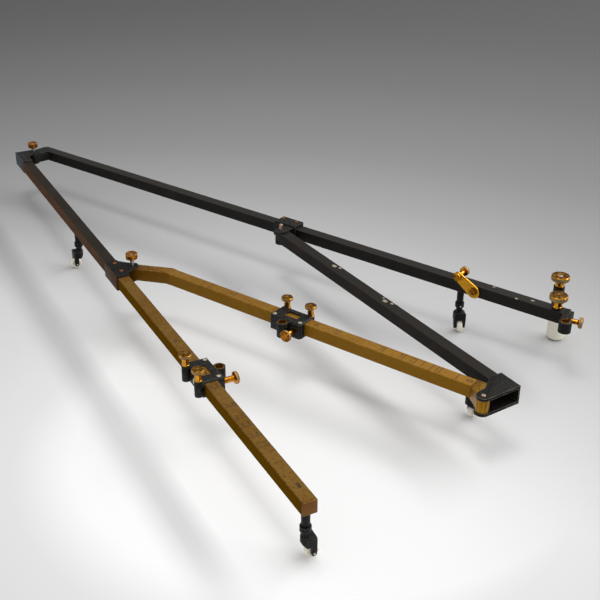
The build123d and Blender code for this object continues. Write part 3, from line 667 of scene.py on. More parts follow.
@dataclass(frozen=True)
class Ivory(Finish):
    """Turned ivory: cream, faintly grained, yellowed and soiled in patches."""

    cream: str = "f6e8c8"
    aged: str = "ecd8ac"
    vein: str = "d3bd8d"
    soil: str = "9a8355"

    def paint(self, graph: Graph, at: Optional[Place]) -> None:
        """Cream with soft upright grain and a little dirt.

        Args:
            graph: the material's tree.
            at: the bar's frame.
        """
        spot = graph.local(at)
        grain = graph.noise(graph.local(at, (1, 1, 7)), 0.9, 4.0, 0.6, 0.6)
        patch = graph.noise(spot, 0.16, 3.0, 0.55)
        dirt = graph.noise(spot, 0.9, 4.0, 0.7)
        colour = graph.blend(patch, linear(self.cream), linear(self.aged))
        colour = graph.blend(grain.step(0.5, 0.8) * 0.5, colour, linear(self.vein))
        colour = graph.blend(dirt.step(0.6, 0.8) * 0.35, colour, linear(self.soil))
        graph.surface(Base_Color=colour, Roughness=0.3 + 0.15 * dirt, Subsurface_Weight=0.12,
                      Subsurface_Scale=0.002, Normal=graph.bump(grain, 0.02, 0.5))


@dataclass(frozen=True)
class Wax(Finish):
    """Black wax in engraving."""

    full: str = "0b0703"
    thin: str = "1d1305"

    def paint(self, graph: Graph, at: Optional[Place]) -> None:
        """Uneven black that has partly come out of the cuts.

        Args:
            graph: the material's tree.
            at: the bar's frame.
        """
        gaps = graph.noise(graph.local(at), 1.7, 3.0, 0.6)
        colour = graph.blend(gaps.step(0.5, 0.7), linear(self.full), linear(self.thin))
        graph.surface(Base_Color=colour, Roughness=0.55 + 0.2 * gaps)


BLACK_NEAR = Enamel("near_enamel", Slot.BLACK, axis=NEAR_AXIS, top="2b2823", flank="17120d",
                    brown=0.35, outer_rust=0.95, gloss=0.05)
BLACK_FAR = Enamel("far_enamel", Slot.BLACK, axis=FAR_AXIS, brown=0.12, gloss=0.18,
                   chips=((700.7, 15.4, 1.8), (715.7, 21.1, 2.1), (671.1, 24.1, 1.6)))
BLACK_TIE = Enamel("tie_enamel", Slot.BLACK, axis=TIE_AXIS, flank="0d0a08", brown=0.2, gloss=0.12,
                   chips=((104.0, 2.9, 3.4), (111.0, 5.4, 2.2), (195.0, 2.6, 3.2),
                          (203.0, 5.2, 2.2), (189.0, 5.4, 1.6)))
BRASS_NEAR = AgedBrass("near_brass", Slot.AGED, axis=NEAR_AXIS, pale="8a6a34", warm="7f5a26",
                       dark="553c16", flank="5e3f00", cover=1.0, gloss=0.0, dull=0.72)
BRASS_LINK = AgedBrass("link_brass", Slot.AGED, axis=LINK_AXIS, pale="a27930", warm="936824",
                       dark="684716", flank="7c5600", cover=0.9, glow=0.15, gloss=0.1, dull=0.5)
BRASS_CAST = AgedBrass("cast_brass", Slot.AGED, axis=LINK_AXIS, pale="91692a", warm="855a20",
                       dark="684516", flank="6e4a00", cover=0.8, gloss=0.1, dull=0.5)
BRASS_END = AgedBrass("end_brass", Slot.AGED, axis=NEAR_AXIS, pale="8a6336", warm="75502a",
                      dark="523619", flank="70491f", cover=0.8, gloss=0.1, dull=0.5)
# The eye's upright streaks of light and deep tone are painted highlights of a polished barrel.
BRASS_EYE = SmoothMetal("eye_brass", Slot.AGED, light="a97c26", deep="6e4c10", sheen=0.27,
                        scratch=0.05, streak=14.0)
CAST = Casting("stippled_casting", Slot.CAST)
CAST_SLATE = Casting("slate_casting", Slot.CAST, side_tint="3e4854", outer=NEAR_AXIS - HALF)
CAST_RUST = Casting("rusty_casting", Slot.CAST, side_tint="4c2c12",
                    outer=NEAR_AXIS - HALF - 1.5, gloss=0.12)
CAST_SOOT = Casting("sooty_casting", Slot.CAST, ground="08090a", top="100f0e", stipple=0.08,
                    fleck=0.12)
# Its pale edge colour lights the fork's edges as wear and as painted highlight.
CAST_FORK = Casting("fork_casting", Slot.CAST, ground="0e0d0c", top="1c1915", edge="a39a86",
                    stipple=0.06, fleck=0.1, gloss=0.15)
KNOB_BRASS = TurnedBrass("knob_brass", Slot.BRIGHT, light="e0a030", deep="a86c1a")
SCREW_BRASS = TurnedBrass("screw_brass", Slot.BRIGHT, light="d08a24", deep="9a5a12",
                          shade="54320a", verdigris=0.85)
LEVER_BRASS = SmoothMetal("lever_brass", Slot.BRIGHT, light="dba22e", deep="a8741c", sheen=0.24)
NUT_BRASS = SmoothMetal("nut_brass", Slot.BRIGHT, light="c2812e", deep="6b3f12", sheen=0.18)
DARK_BRASS = SmoothMetal("dark_brass", Slot.BRIGHT, light="9a6420", deep="3c2408", sheen=0.24)
LINING = SmoothMetal("lining_brass", Slot.BRIGHT, light="a87a2c", deep="6b4a18", sheen=0.34)
COPPER = SmoothMetal("copper", Slot.COPPER, light="cf8448", deep="8f4f22", sheen=0.3)
STEEL = SmoothMetal("steel", Slot.STEEL)
ROSE_STEEL = SmoothMetal("rose_steel", Slot.STEEL, light="c8aa94", deep="8a6f60", sheen=0.28)
PALE_STEEL = SmoothMetal("pale_steel", Slot.STEEL, light="efe6d0", deep="b5a88c", sheen=0.3)
IVORY = Ivory("ivory", Slot.IVORY)
WAX = Wax("engraving_wax", Slot.AGED)


# ---------------------------------------------------------------- meshes
# Edges that turn by more degrees than these stay sharp in shading, or are rounded over.
PIECE_SHARP = 38.0
NODE_SHARP = 40.0
ROUNDED = 32.0
# Nodes' points nearer than this, in metres, are one, and faces within this angle are one flat.
SAME_POINT = 1e-6
SAME_FLAT = 0.6


def piece(name: str, vertices: np.ndarray, faces: Sequence, body: str, finish: Finish,
          replaces: Sequence[str] = (), at: Optional[Place] = None) -> bpy.types.Object:
    """Make a finished piece whose place is in its mesh.

    Args:
        name: the piece's name.
        vertices: its points, in metres.
        faces: its faces.
        body: the body it rides on.
        finish: its finish.
        replaces: CAD nodes it stands for.
        at: the frame its finish is lined up with.

    Returns:
        The object.
    """
    mesh = bpy.data.meshes.new(name)
    mesh.from_pydata(vertices.tolist(), [], [face.tolist() for face in faces])
    mesh.validate()
    made = bpy.data.objects.new(name, mesh)
    bpy.context.scene.collection.objects.link(made)
    mesh.shade_smooth()
    mesh.set_sharp_from_angle(angle=math.radians(PIECE_SHARP))
    return enlist(made, body, finish, replaces, at)


def enlist(made: bpy.types.Object, body: str, finish: Finish, replaces: Sequence[str] = (),
           at: Optional[Place] = None) -> bpy.types.Object:
    """Give a piece its finish and its body, and report it.

    Args:
        made: the piece.
        body: the body it rides on.
        finish: its finish.
        replaces: CAD nodes it stands for.
        at: the frame its finish is lined up with.

    Returns:
        The piece.
    """
    made.data.materials.clear()
    made.data.materials.append(finish.material(at))
    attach(made, body)
    if replaces:
        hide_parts(*replaces)
    LOG.info("%s rides on %s, %d faces", made.name, body, len(made.data.polygons))
    return made


def settle(made: bpy.types.Object) -> None:
    """Apply a piece's modifiers.

    Args:
        made: the piece.
    """
    graph = bpy.context.evaluated_depsgraph_get()
    finished = bpy.data.meshes.new_from_object(made.evaluated_get(graph))
    made.modifiers.clear()
    made.data = finished


def dress(node: str, finish: Finish, at: Optional[Place] = None) -> None:
    """Give a CAD node that stays its finish.

    Args:
        node: the CAD node.
        finish: its finish.
        at: the frame its finish is lined up with.
    """
    found = frame["nodes"][node]
    shade = finish.material(at)
    if not found.material_slots:
        found.data.materials.append(shade)
    for held in found.material_slots:
        held.material = shade


def eased(node: str, finish: Finish, width: float, at: Optional[Place] = None,
          segments: int = 2) -> bpy.types.Object:
    """A copy of a CAD node with its edges rounded over, which stands for the node.

    Args:
        node: the CAD node.
        finish: the copy's finish.
        width: width of the rounding, in millimetres.
        at: the frame the finish is lined up with.
        segments: flats across the rounding.

    Returns:
        The copy.
    """
    mesh = frame["nodes"][node].data.copy()
    shape = bmesh.new()
    shape.from_mesh(mesh)
    bmesh.ops.remove_doubles(shape, verts=shape.verts, dist=SAME_POINT)
    bmesh.ops.dissolve_limit(shape, angle_limit=math.radians(SAME_FLAT), verts=shape.verts,
                             edges=shape.edges)
    shape.to_mesh(mesh)
    shape.free()
    made = bpy.data.objects.new(f"eased_{node}", mesh)
    bpy.context.scene.collection.objects.link(made)
    round_over = made.modifiers.new("round_over", "BEVEL")
    round_over.width = width * MM
    round_over.segments = segments
    round_over.limit_method = "ANGLE"
    round_over.angle_limit = math.radians(ROUNDED)
    round_over.use_clamp_overlap = True
    settle(made)
    made.data.shade_smooth()
    made.data.set_sharp_from_angle(angle=math.radians(NODE_SHARP))
    return enlist(made, BODY_OF[node], finish, [node], at)


# ---------------------------------------------------------------- turned pieces
@dataclass(frozen=True)
class Knurl:
    """A knurled band on a turned piece.

    The relief at angle a and height h is the product of two saw-toothed ridges that run
    left and right round the rim, which leaves diamonds between them. The lead is how far
    the ridges turn for each millimetre of height, in radians.
    """

    low: float
    high: float
    teeth: int
    depth: float
    lead: float

    @classmethod
    def fine(cls, low: float, high: float) -> "Knurl":
        """The knurl of the small screws."""
        return cls(low, high, 40, 0.26, 1.3)

    @classmethod
    def bold(cls, low: float, high: float) -> "Knurl":
        """The knurl of the two large knobs."""
        return cls(low, high, 64, 0.3, 1.1)

    def relief(self, angle: np.ndarray, height: np.ndarray) -> np.ndarray:
        """How far the surface lies below its rim, 0 to 1.

        Args:
            angle: angles round the axis.
            height: heights along it.

        Returns:
            An array over both.
        """
        turn = self.lead * (height - self.low)
        left = np.abs(np.sin(self.teeth / 2 * angle + turn))
        right = np.abs(np.sin(self.teeth / 2 * angle - turn))
        inside = (height > self.low) & (height < self.high)
        return np.where(inside, 1.0 - left * right, 0.0)


PROFILE_SPANS = 3


def fine_profile(corners: Pairs, ease: float) -> np.ndarray:
    """A profile with its corners rounded.

    Each inner corner is replaced by a quadratic curve between points set back by ease along
    its two sides, or by two fifths of a side where that is shorter.

    Args:
        corners: radius and height of each corner.
        ease: set-back in millimetres.

    Returns:
        Radius and height of each point.
    """
    points = np.array(corners, float)
    back = points[:-2] - points[1:-1]
    ahead = points[2:] - points[1:-1]
    back_length = np.linalg.norm(back, axis=1, keepdims=True)
    ahead_length = np.linalg.norm(ahead, axis=1, keepdims=True)
    start = points[1:-1] + back / back_length * np.minimum(ease, back_length * 0.4)
    end = points[1:-1] + ahead / ahead_length * np.minimum(ease, ahead_length * 0.4)
    share = np.linspace(0, 1, PROFILE_SPANS + 1)[None, :, None]
    curve = (1 - share) ** 2 * start[:, None] + 2 * share * (1 - share) * points[1:-1, None] \
        + share ** 2 * end[:, None]
    return np.vstack([points[:1], curve.reshape(-1, 2), points[-1:]])


@dataclass(frozen=True)
class Turned:
    """A piece turned on a lathe: a profile of radius and height, from pole to pole.

    A profile that doesn't start on the axis closes on itself, and leaves a bore. The face is
    the range of heights that is finished as the head's flat face, and rows are the rings of
    points across the knurl.
    """

    profile: Pairs
    ease: float
    sides: int
    knurl: Optional[Knurl] = None
    face: Optional[Pair] = None
    rows: int = 14

    def build(self, name: str, at: Place, body: str, finish: Finish,
              replaces: Sequence[str] = ()) -> bpy.types.Object:
        """Make the piece.

        The point at angle a on row i is ((r - k) cos a, (r - k) sin a, h), with k the knurl's
        relief; a single point closes each end.

        Args:
            name: the piece's name.
            at: its frame, with z along the axis.
            body: the body it rides on.
            finish: its finish.
            replaces: CAD nodes it stands for.

        Returns:
            The object.
        """
        rows = fine_profile(self.profile, self.ease)
        if self.knurl:
            rows = self._with_band(rows)
        bored = rows[0, 0] > 0
        loops = rows if bored else rows[1:-1]
        angle = np.arange(self.sides) * 2 * np.pi / self.sides
        radius, height = loops[:, 0:1], loops[:, 1:2]
        relief = np.zeros((len(loops), self.sides))
        if self.knurl:
            on_rim = radius > radius.max() - 0.5
            relief = self.knurl.relief(angle[None, :], height) * on_rim
            radius = radius - relief * self.knurl.depth
        grid = np.stack([radius * np.cos(angle), radius * np.sin(angle), height + 0 * angle],
                        axis=-1)
        points = grid.reshape(-1, 3)
        j = np.arange(self.sides)
        after = (j + 1) % self.sides
        base = np.arange(len(loops) - (0 if bored else 1))[:, None] * self.sides
        ahead = (base + self.sides) % (len(loops) * self.sides)
        walls = np.stack([base + j, base + after, ahead + after, ahead + j], axis=-1)
        faces = list(walls.reshape(-1, 4))
        if not bored:
            points = np.vstack([points, [[0, 0, rows[0, 1]]], [[0, 0, rows[-1, 1]]]])
            low, high = len(points) - 2, len(points) - 1
            last = (len(loops) - 1) * self.sides
            faces += list(np.stack([after, j, np.full_like(j, low)], axis=-1))
            faces += list(np.stack([last + j, last + after, np.full_like(j, high)], axis=-1))
        made = piece(name, at.put(points), faces, body, finish, replaces)
        self._chart(made.data, rows, relief, 0 if bored else 1)
        return made

    def _with_band(self, rows: np.ndarray) -> np.ndarray:
        """Add evenly spaced rows across the widest part of the profile.

        Args:
            rows: radius and height of each point.

        Returns:
            The same with the added rows.
        """
        widest = rows[:, 0].max()
        first = int(np.argmax(rows[:, 0] > widest - 1e-6))
        start, end = rows[first, 1], rows[first + 1, 1]
        heights = start + (end - start) * np.linspace(0.0, 1.0, self.rows + 2)[1:-1]
        band = np.stack([np.full(self.rows, widest), heights], axis=-1)
        return np.vstack([rows[:first + 1], band, rows[first + 1:]])

    def _chart(self, mesh: bpy.types.Mesh, rows: np.ndarray, relief: np.ndarray,
               poles: int) -> None:
        """Keep the unrolled chart, the rim, the grooves and the face on the mesh.

        The chart's u is the turn round the axis, carried past 1 where a face closes the ring
        and level with its face's widest u at a pole; its v is a tenth of the length along the
        profile.

        Args:
            mesh: the finished mesh.
            rows: radius and height along the profile.
            relief: the knurl's depth at each point of the rings.
            poles: 1 where the ends are single points, 0 where the profile closes on itself.
        """
        inside = slice(poles, len(rows) - poles)
        ends = [0, -1][:2 * poles]
        spare = np.zeros(len(ends))
        steps = np.linalg.norm(np.diff(rows, axis=0), axis=1)
        length = np.concatenate([[0], np.cumsum(steps)])
        along = np.concatenate([np.repeat(length[inside], self.sides), length[ends]])
        around = np.concatenate([np.tile(np.arange(self.sides) / self.sides, len(relief)), spare])
        height = np.concatenate([np.repeat(rows[inside, 1], self.sides), rows[ends, 1]])
        at_pole = np.arange(len(height)) >= relief.size

        corner = np.zeros(len(mesh.loops), np.int32)
        starts = np.zeros(len(mesh.polygons), np.int32)
        sizes = np.zeros(len(mesh.polygons), np.int32)
        mesh.loops.foreach_get("vertex_index", corner)
        mesh.polygons.foreach_get("loop_start", starts)
        mesh.polygons.foreach_get("loop_total", sizes)
        owner = np.repeat(np.arange(len(starts)), sizes)
        u, pole = around[corner], at_pole[corner]
        widest = np.zeros(len(starts))
        np.maximum.at(widest, owner, np.where(pole, 0, u))
        wrap = (widest[owner] > 0.75) & (u < 0.25) & ~pole
        u = np.where(pole, widest[owner], np.where(wrap, u + 1.0, u))
        chart = mesh.uv_layers.new(name="turned")
        chart.data.foreach_set("uv", np.stack([u, along[corner] * 0.1], axis=-1).ravel())

        rim, face = np.zeros(len(height)), np.zeros(len(height))
        if self.knurl:
            rim = (height >= self.knurl.low) & (height <= self.knurl.high) & ~at_pole
        if self.face:
            face = (height >= self.face[0]) & (height <= self.face[1])
        groove = np.concatenate([relief.ravel(), spare])
        for label, numbers in (("rim", rim), ("groove", groove), ("face", face)):
            kept = mesh.attributes.new(label, "FLOAT", "POINT")
            kept.data.foreach_set("value", numbers.astype(np.float32))


def slotted(made: bpy.types.Object, at: Place, length: float, width: float,
            depth: float) -> None:
    """Cut a screwdriver slot into a head.

    Args:
        made: the screw.
        at: a frame on the head's face, x along the slot and z outwards.
        length: the slot's length, in millimetres.
        width: its width.
        depth: its depth.
    """
    x, y = length / 2, width / 2
    corners = [(a * x, b * y, c) for c in (-depth, 1.0) for b in (-1, 1) for a in (-1, 1)]
    sides = [(0, 2, 3, 1), (4, 5, 7, 6), (0, 1, 5, 4), (2, 6, 7, 3), (0, 4, 6, 2), (1, 3, 7, 5)]
    mesh = bpy.data.meshes.new("slot_tool")
    mesh.from_pydata(at.put(np.array(corners)).tolist(), [], sides)
    tool = bpy.data.objects.new("slot_tool", mesh)
    bpy.context.scene.collection.objects.link(tool)
    cut = made.modifiers.new("slot", "BOOLEAN")
    cut.operation = "DIFFERENCE"
    cut.object = tool
    cut.solver = "EXACT"
    settle(made)
    bpy.data.objects.remove(tool)


# ---------------------------------------------------------------- sub-assemblies
@dataclass(frozen=True)
class Bars:
    """The five tubes and the plugs and eyes at their ends."""

    ease: float = 0.4
    brass_ease: float = 0.35

    def build(self) -> None:
        """Dress the tubes and round over the eyes."""
        for node, finish, at in (("near_arm_black_tube", BLACK_NEAR, NEAR),
                                 ("near_arm_brass_tube", BRASS_NEAR, NEAR),
                                 ("far_arm_tube", BLACK_FAR, FAR),
                                 ("tie_tube", BLACK_TIE, TIE),
                                 ("link_tube", BRASS_LINK, LINK)):
            dress(node, finish, at)
        eased("near_arm_end_plug", BRASS_END, self.ease, NEAR)
        eased("far_arm_crank_eye", CAST, self.ease, FAR)
        eased("link_elbow", BRASS_CAST, self.brass_ease, LINK)
        eased("link_end_eye", BRASS_EYE, self.brass_ease, LINK)
        eased("tie_end_eye", CAST_SOOT, self.ease, TIE)


@dataclass(frozen=True)
class Castings:
    """Forks, saddle and head, all stippled black."""

    ease: float = 0.45
    fork_ease: float = 0.3
    screw_ease: float = 0.12

    def build(self) -> None:
        """Round over the castings and the screws in them."""
        eased("apex_fork", CAST_SLATE, self.ease, NEAR)
        eased("elbow_fork", CAST_RUST, self.ease, NEAR)
        eased("far_arm_saddle", CAST, self.ease, FAR)
        eased("tie_fork", CAST_FORK, self.fork_ease, TIE)
        eased("tracer_holder", CAST_SOOT, self.ease, FAR)
        eased("outrigger_arm", CAST_SOOT, self.ease, FAR)
        for node in ("elbow_fork_screws", "far_arm_saddle_screws"):
            eased(node, COPPER, self.screw_ease, NEAR)


@dataclass(frozen=True)
class Pivots:
    """Pivot pins and the two capstan nuts."""

    radius: float = 2.0
    sunk: float = 1.1
    nut_ease: float = 0.2

    def build(self) -> None:
        """Turn the pins and round the nuts over."""
        low = level(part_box("near_arm_pivot_pins")[0])
        elbow = NEAR.moved((ELBOW - APEX).to_2d().length / MM)
        for name, at in (("apex", NEAR), ("elbow", elbow)):
            nut = f"{name}_capstan_nut"
            high = level(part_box(nut)[1]) - self.sunk
            self._pin(f"{name}_pin", "near_arm_pivot_pins", at, low, high, STEEL)
            eased(nut, NUT_BRASS, self.nut_ease, segments=3)
        for name, node in (("saddle_pin", "saddle_pivot_pin"), ("corner_pin", "tie_fork_pin")):
            foot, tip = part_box(node)
            self._pin(name, node, TIE.over(middle(node)), level(foot), level(tip), ROSE_STEEL)

    def _pin(self, name: str, node: str, at: Place, low: float, high: float,
             finish: Finish) -> None:
        """Turn one pin with a rounded, centre-drilled end.

        Args:
            name: the piece's name.
            node: the CAD node it stands for.
            at: its frame.
            low: height of its lower end, in millimetres.
            high: height of its upper end.
            finish: its finish.
        """
        r = self.radius
        shape = Turned(((0, low), (r - 0.3, low), (r, low + 0.3), (r, high - 0.4),
                        (r - 0.4, high), (0.6, high), (0, high - 0.35)), ease=0.2, sides=48)
        shape.build(name, at, BODY_OF[node], finish, [node])


@dataclass(frozen=True)
class Carriage:
    """One sliding carriage with its two upright knobs and its level clamp screw.

    The station is the distance along the bar of its bore. Heights are above the bar's top
    face, and the clamp's are along its own axis.
    """

    number: int
    on: Place
    station: float
    post_top: float
    ease: float = 0.4
    screw_ease: float = 0.12
    head: float = 5.8
    stem: float = 3.2
    bore: float = 4.0
    boss_top: float = 1.0
    foot: float = -14.3
    clamp_head: float = 5.9
    clamp_stem: float = 2.9
    clamp_tip: float = -17.6
    clamp_face: float = 4.0
    clamp_thick: float = 3.5
    slot_width: float = 0.9
    slot_turn: float = 48.0

    def build(self) -> None:
        """Round the body over, turn its screws, line its bore and dress the index."""
        eased(f"{self.body}_body", CAST, self.ease, self.on)
        eased(f"{self.body}_fasteners", PALE_STEEL, self.screw_ease, self.on)
        dress(f"{self.body}_index_plate", BRASS_LINK, self.on)
        knob = self._knob(self.post_top + 0.1, level(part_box(f"{self.body}_rear_knob")[1]))
        for which in ("rear", "front"):
            node = f"{self.body}_{which}_knob"
            knob.build(f"{self.body}_{which}_screw", self.on.over(middle(node)),
                       BODY_OF[node], KNOB_BRASS, [node])
        self._clamp()
        self._lining()

    @property
    def body(self) -> str:
        """The carriage's own body, whose name also starts its nodes' names."""
        return f"carriage_{self.number}"

    def _knob(self, foot: float, top: float) -> Turned:
        """Shape of an upright knob, waisted between its collar and its knurled head.

        Args:
            foot: height it starts from.
            top: height of its face.

        Returns:
            The shape.
        """
        r, s = self.head, self.stem
        return Turned(((0, foot), (s + 0.3, foot), (s + 0.3, foot + 0.7), (s - 0.1, foot + 1.0),
                       (s - 0.1, top - 5.2), (s + 0.8, top - 4.2), (r - 0.6, top - 3.4),
                       (r, top - 2.9), (r, top - 0.6), (r - 0.5, top), (1.1, top),
                       (0.9, top - 0.25), (0, top - 0.3)),
                      ease=0.22, sides=120, knurl=Knurl.fine(top - 2.8, top - 0.7),
                      face=(top - 0.35, top))

    def _clamp(self) -> None:
        """Turn the level clamp screw, with a slotted knurled head."""
        node = f"{self.body}_clamp_screw"
        seat = hinge(f"{self.body}_clamp_turn")
        r, s, face, thick = self.clamp_head, self.clamp_stem, self.clamp_face, self.clamp_thick
        shape = Turned(((0, self.clamp_tip), (s, self.clamp_tip), (s, face - thick - 0.9),
                        (s + 0.7, face - thick - 0.2), (r - 0.6, face - thick),
                        (r, face - thick + 0.6), (r, face - 0.6), (r - 0.6, face), (0, face)),
                       ease=0.3, sides=120, knurl=Knurl.fine(face - thick + 0.75, face - 0.75),
                       face=(face - 0.3, face))
        made = shape.build(f"{self.body}_clamp", seat, BODY_OF[node], SCREW_BRASS, [node])
        slotted(made, seat.moved(0, 0, face).turned(self.slot_turn), 2 * r + 2,
                self.slot_width, self.slot_width)

    def _lining(self) -> None:
        """Turn the thin brass lining of the bore."""
        r = self.bore - 0.04
        low, high = self.foot + 0.2, self.boss_top + 0.12
        shape = Turned(((r, low), (r + 0.5, low), (r + 0.5, high), (r, high)), ease=0.08,
                       sides=64)
        shape.build(f"{self.body}_bore_lining", self.on.moved(self.station), self.body, LINING)


@dataclass(frozen=True)
class FarEnd:
    """Tracer clamp screw, both large knurled knobs, the foot and its rod.

    Heights are along each piece's own axis.
    """

    clamp_head: float = 5.6
    clamp_face: float = 11.2
    slot_width: float = 0.9
    slot_turn: float = 60.0
    front_knob: float = 9.25
    front_top: float = 15.7
    foot_knob: float = 9.5
    foot_knob_top: float = 12.5
    foot: float = 9.6
    foot_top: float = 27.0
    rod: float = 2.0
    bore: float = 3.96

    def build(self) -> None:
        """Turn them all."""
        self._clamp()
        self._front_knob()
        self._foot_knob()
        self._foot()
        outside, low, high = 4.6, -10.1, 1.15
        lining = Turned(((self.bore, low), (outside, low), (outside, high), (self.bore, high)),
                        ease=0.1, sides=64)
        lining.build("tracer_bore_lining", FAR.moved(TRACER), "far_arm", LINING)

    def _clamp(self) -> None:
        """Turn the slotted clamp screw through the jaws."""
        seat = hinge("tracer_screw_turn")
        r, face = self.clamp_head, self.clamp_face
        shape = Turned(((0, -7.2), (2.6, -7.2), (2.6, 6.6), (3.3, 7.4), (5.0, 7.6), (r, 8.2),
                        (r, 10.6), (5.0, face), (0, face)),
                       ease=0.3, sides=120, knurl=Knurl.fine(8.3, 10.5), face=(face - 0.3, face))
        made = shape.build("tracer_screw", seat, "tracer_screw", SCREW_BRASS,
                           ["tracer_clamp_screw"])
        slotted(made, seat.moved(0, 0, face).turned(self.slot_turn), 2 * r + 2,
                self.slot_width, self.slot_width)

    def _front_knob(self) -> None:
        """Turn the clamp knob on the outrigger's pivot."""
        r, top = self.front_knob, self.front_top
        shape = Turned(((0, -6.2), (2.0, -6.2), (2.0, 1.85), (4.85, 1.85), (4.85, 2.9),
                        (4.5, 3.3), (4.5, 8.4), (5.1, 9.3), (r - 1.0, 9.8), (r, 10.9), (r, 14.8),
                        (r - 0.8, top - 0.1), (1.3, top), (1.0, top - 0.3), (0, top - 0.35)),
                       ease=0.35, sides=192, knurl=Knurl.bold(11.0, 14.7),
                       face=(top - 0.4, top), rows=18)
        shape.build("front_knob", hinge("head_knob_turn"), "head_knob", KNOB_BRASS,
                    ["front_clamp_knob"])

    def _foot_knob(self) -> None:
        """Turn the nut on the foot's rod, with a recess in its face."""
        r, top, inner = self.foot_knob, self.foot_knob_top, self.rod + 0.08
        shape = Turned(((inner, 0.15), (4.8, 0.15), (4.8, 1.1), (4.4, 1.5), (4.4, 5.4),
                        (5.0, 6.2), (r - 1.0, 6.6), (r, 7.6), (r, 11.6), (r - 0.8, top - 0.1),
                        (3.7, top), (3.4, top - 0.3), (3.3, top - 1.5), (inner, top - 1.6)),
                       ease=0.3, sides=192, knurl=Knurl.bold(7.7, 11.5),
                       face=(top - 0.4, top), rows=18)
        shape.build("foot_nut", hinge("foot_knob_turn"), "foot_nut", KNOB_BRASS, ["foot_knob"])

    def _foot(self) -> None:
        """Turn the ivory foot and its steel rod, upright from the floor."""
        r, top, rod = self.foot, self.foot_top, self.rod
        foot = Turned(((0, 0), (4.4, 0), (6.8, 0.55), (8.3, 1.6), (9.2, 3.1), (r, 5.4),
                       (r, top - 0.8), (r - 0.8, top), (0, top)), ease=0.6, sides=96)
        foot.build("foot", FAR.over(middle("ivory_foot"), 0.0), "foot", IVORY, ["ivory_foot"])
        low, high = (corner.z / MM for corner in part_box("foot_rod"))
        stem = Turned(((0, low), (rod, low), (rod, high - 0.5), (rod - 0.5, high), (0, high)),
                      ease=0.25, sides=48)
        stem.build("foot_stem", FAR.over(middle("foot_rod"), 0.0), "foot", STEEL, ["foot_rod"])


@dataclass(frozen=True)
class Lever:
    """Lift lever with its sunk pivot screw and knurled thumbscrew.

    The slot is the length, width and depth of the cut in the pivot screw's face.
    """

    ease: float = 0.3
    screw_ease: float = 0.25
    face: float = 2.25
    slot: tuple[float, float, float] = (12.0, 0.9, 0.5)
    slot_turn: float = 35.0

    def build(self) -> None:
        """Round the lever over, slot its screw and turn the thumbscrew."""
        eased("lift_lever", LEVER_BRASS, self.ease, FAR)
        screw = eased("lift_lever_pivot_screw", DARK_BRASS, self.screw_ease, FAR, segments=3)
        pivot = hinge("lever_lift", -1.0)
        slotted(screw, pivot.moved(0, 0, self.face).turned(self.slot_turn), *self.slot)
        shape = Turned(((0, -5.4), (3.5, -5.4), (4.3, -4.8), (4.3, -2.7), (2.1, -2.4),
                        (2.1, 11.2), (4.3, 11.3), (5.0, 11.9), (5.0, 15.1), (4.4, 15.7),
                        (0, 15.7)),
                       ease=0.3, sides=96, knurl=Knurl(12.0, 15.0, 34, 0.26, 1.3),
                       face=(-5.5, -5.2))
        shape.build("lever_thumbscrew", hinge("lever_screw_turn"), "lever_screw", KNOB_BRASS,
                    ["lift_lever_thumbscrew"])


@dataclass(frozen=True)
class Casters:
    """Four swivel casters with ivory wheels."""

    names: tuple[str, ...] = ("near_rear", "near_end", "far", "tie")
    posts: tuple[str, ...] = ("near_arm_caster_posts", "far_arm_caster_post", "tie_caster_post")
    wheel: float = 6.2
    width: float = 5.8
    fork_ease: float = 0.5
    axle_ease: float = 0.2
    post_ease: float = 0.35

    def build(self) -> None:
        """Round forks and posts over and turn the wheels."""
        for name in self.names:
            eased(f"caster_{name}_fork", CAST_SOOT, self.fork_ease, segments=3)
            eased(f"caster_{name}_axle", STEEL, self.axle_ease)
            self._wheel(name)
        for node in self.posts:
            eased(node, CAST_SOOT, self.post_ease)

    def _wheel(self, name: str) -> None:
        """Turn one crowned wheel with hollowed faces and a hub.

        Args:
            name: the caster it belongs to.
        """
        node = f"caster_{name}_wheel"
        r, w = self.wheel, self.width / 2
        shape = Turned(((0, -w + 0.1), (1.9, -w + 0.1), (2.3, -w + 0.7), (r - 2.1, -w + 0.6),
                        (r - 1.5, -w), (r - 0.5, -w + 0.9), (r, -w + 2.2), (r, w - 2.2),
                        (r - 0.5, w - 0.9), (r - 1.5, w), (r - 2.1, w - 0.6), (2.3, w - 0.7),
                        (1.9, w - 0.1), (0, w - 0.1)), ease=0.7, sides=72)
        shape.build(f"wheel_{name}", hinge(f"wheel_{name}_roll"), BODY_OF[node], IVORY, [node])


# ---------------------------------------------------------------- engraving
# A digit is the corners of one unbroken line in a cell 2 wide and 4 high.
STROKES: dict[str, Pairs] = {
    "0": ((0.3, 0), (1.7, 0), (2, 1), (2, 3), (1.7, 4), (0.3, 4), (0, 3), (0, 1), (0.3, 0)),
    "1": ((1, 0), (1, 4), (0.4, 3.3)),
    "2": ((0, 3.4), (0.6, 4), (1.6, 4), (2, 3), (0, 0), (2, 0)),
    "3": ((0, 4), (2, 4), (0.9, 2.4), (2, 1.4), (1.4, 0), (0, 0.3)),
    "4": ((1.5, 0), (1.5, 4), (0, 1.2), (2, 1.2)),
    "5": ((2, 4), (0.3, 4), (0.2, 2.3), (1.6, 2.3), (2, 1.2), (1.4, 0), (0, 0.2)),
    "6": ((1.7, 4), (0.3, 2.2), (0, 1), (0.5, 0), (1.6, 0), (2, 1.1), (1.5, 2.1), (0.3, 1.9)),
    "8": ((1, 2.2), (0.2, 3.2), (1, 4), (1.8, 3.2), (1, 2.2), (0, 1), (1, 0), (2, 1), (1, 2.2)),
}
RATIOS = (2, 3, 4, 5, 6, 8, 10, 12)


@dataclass(frozen=True)
class Sign:
    """Digits beside a mark: the text, its place in the bar's frame and its height."""

    text: str
    along: float
    across: float
    size: float


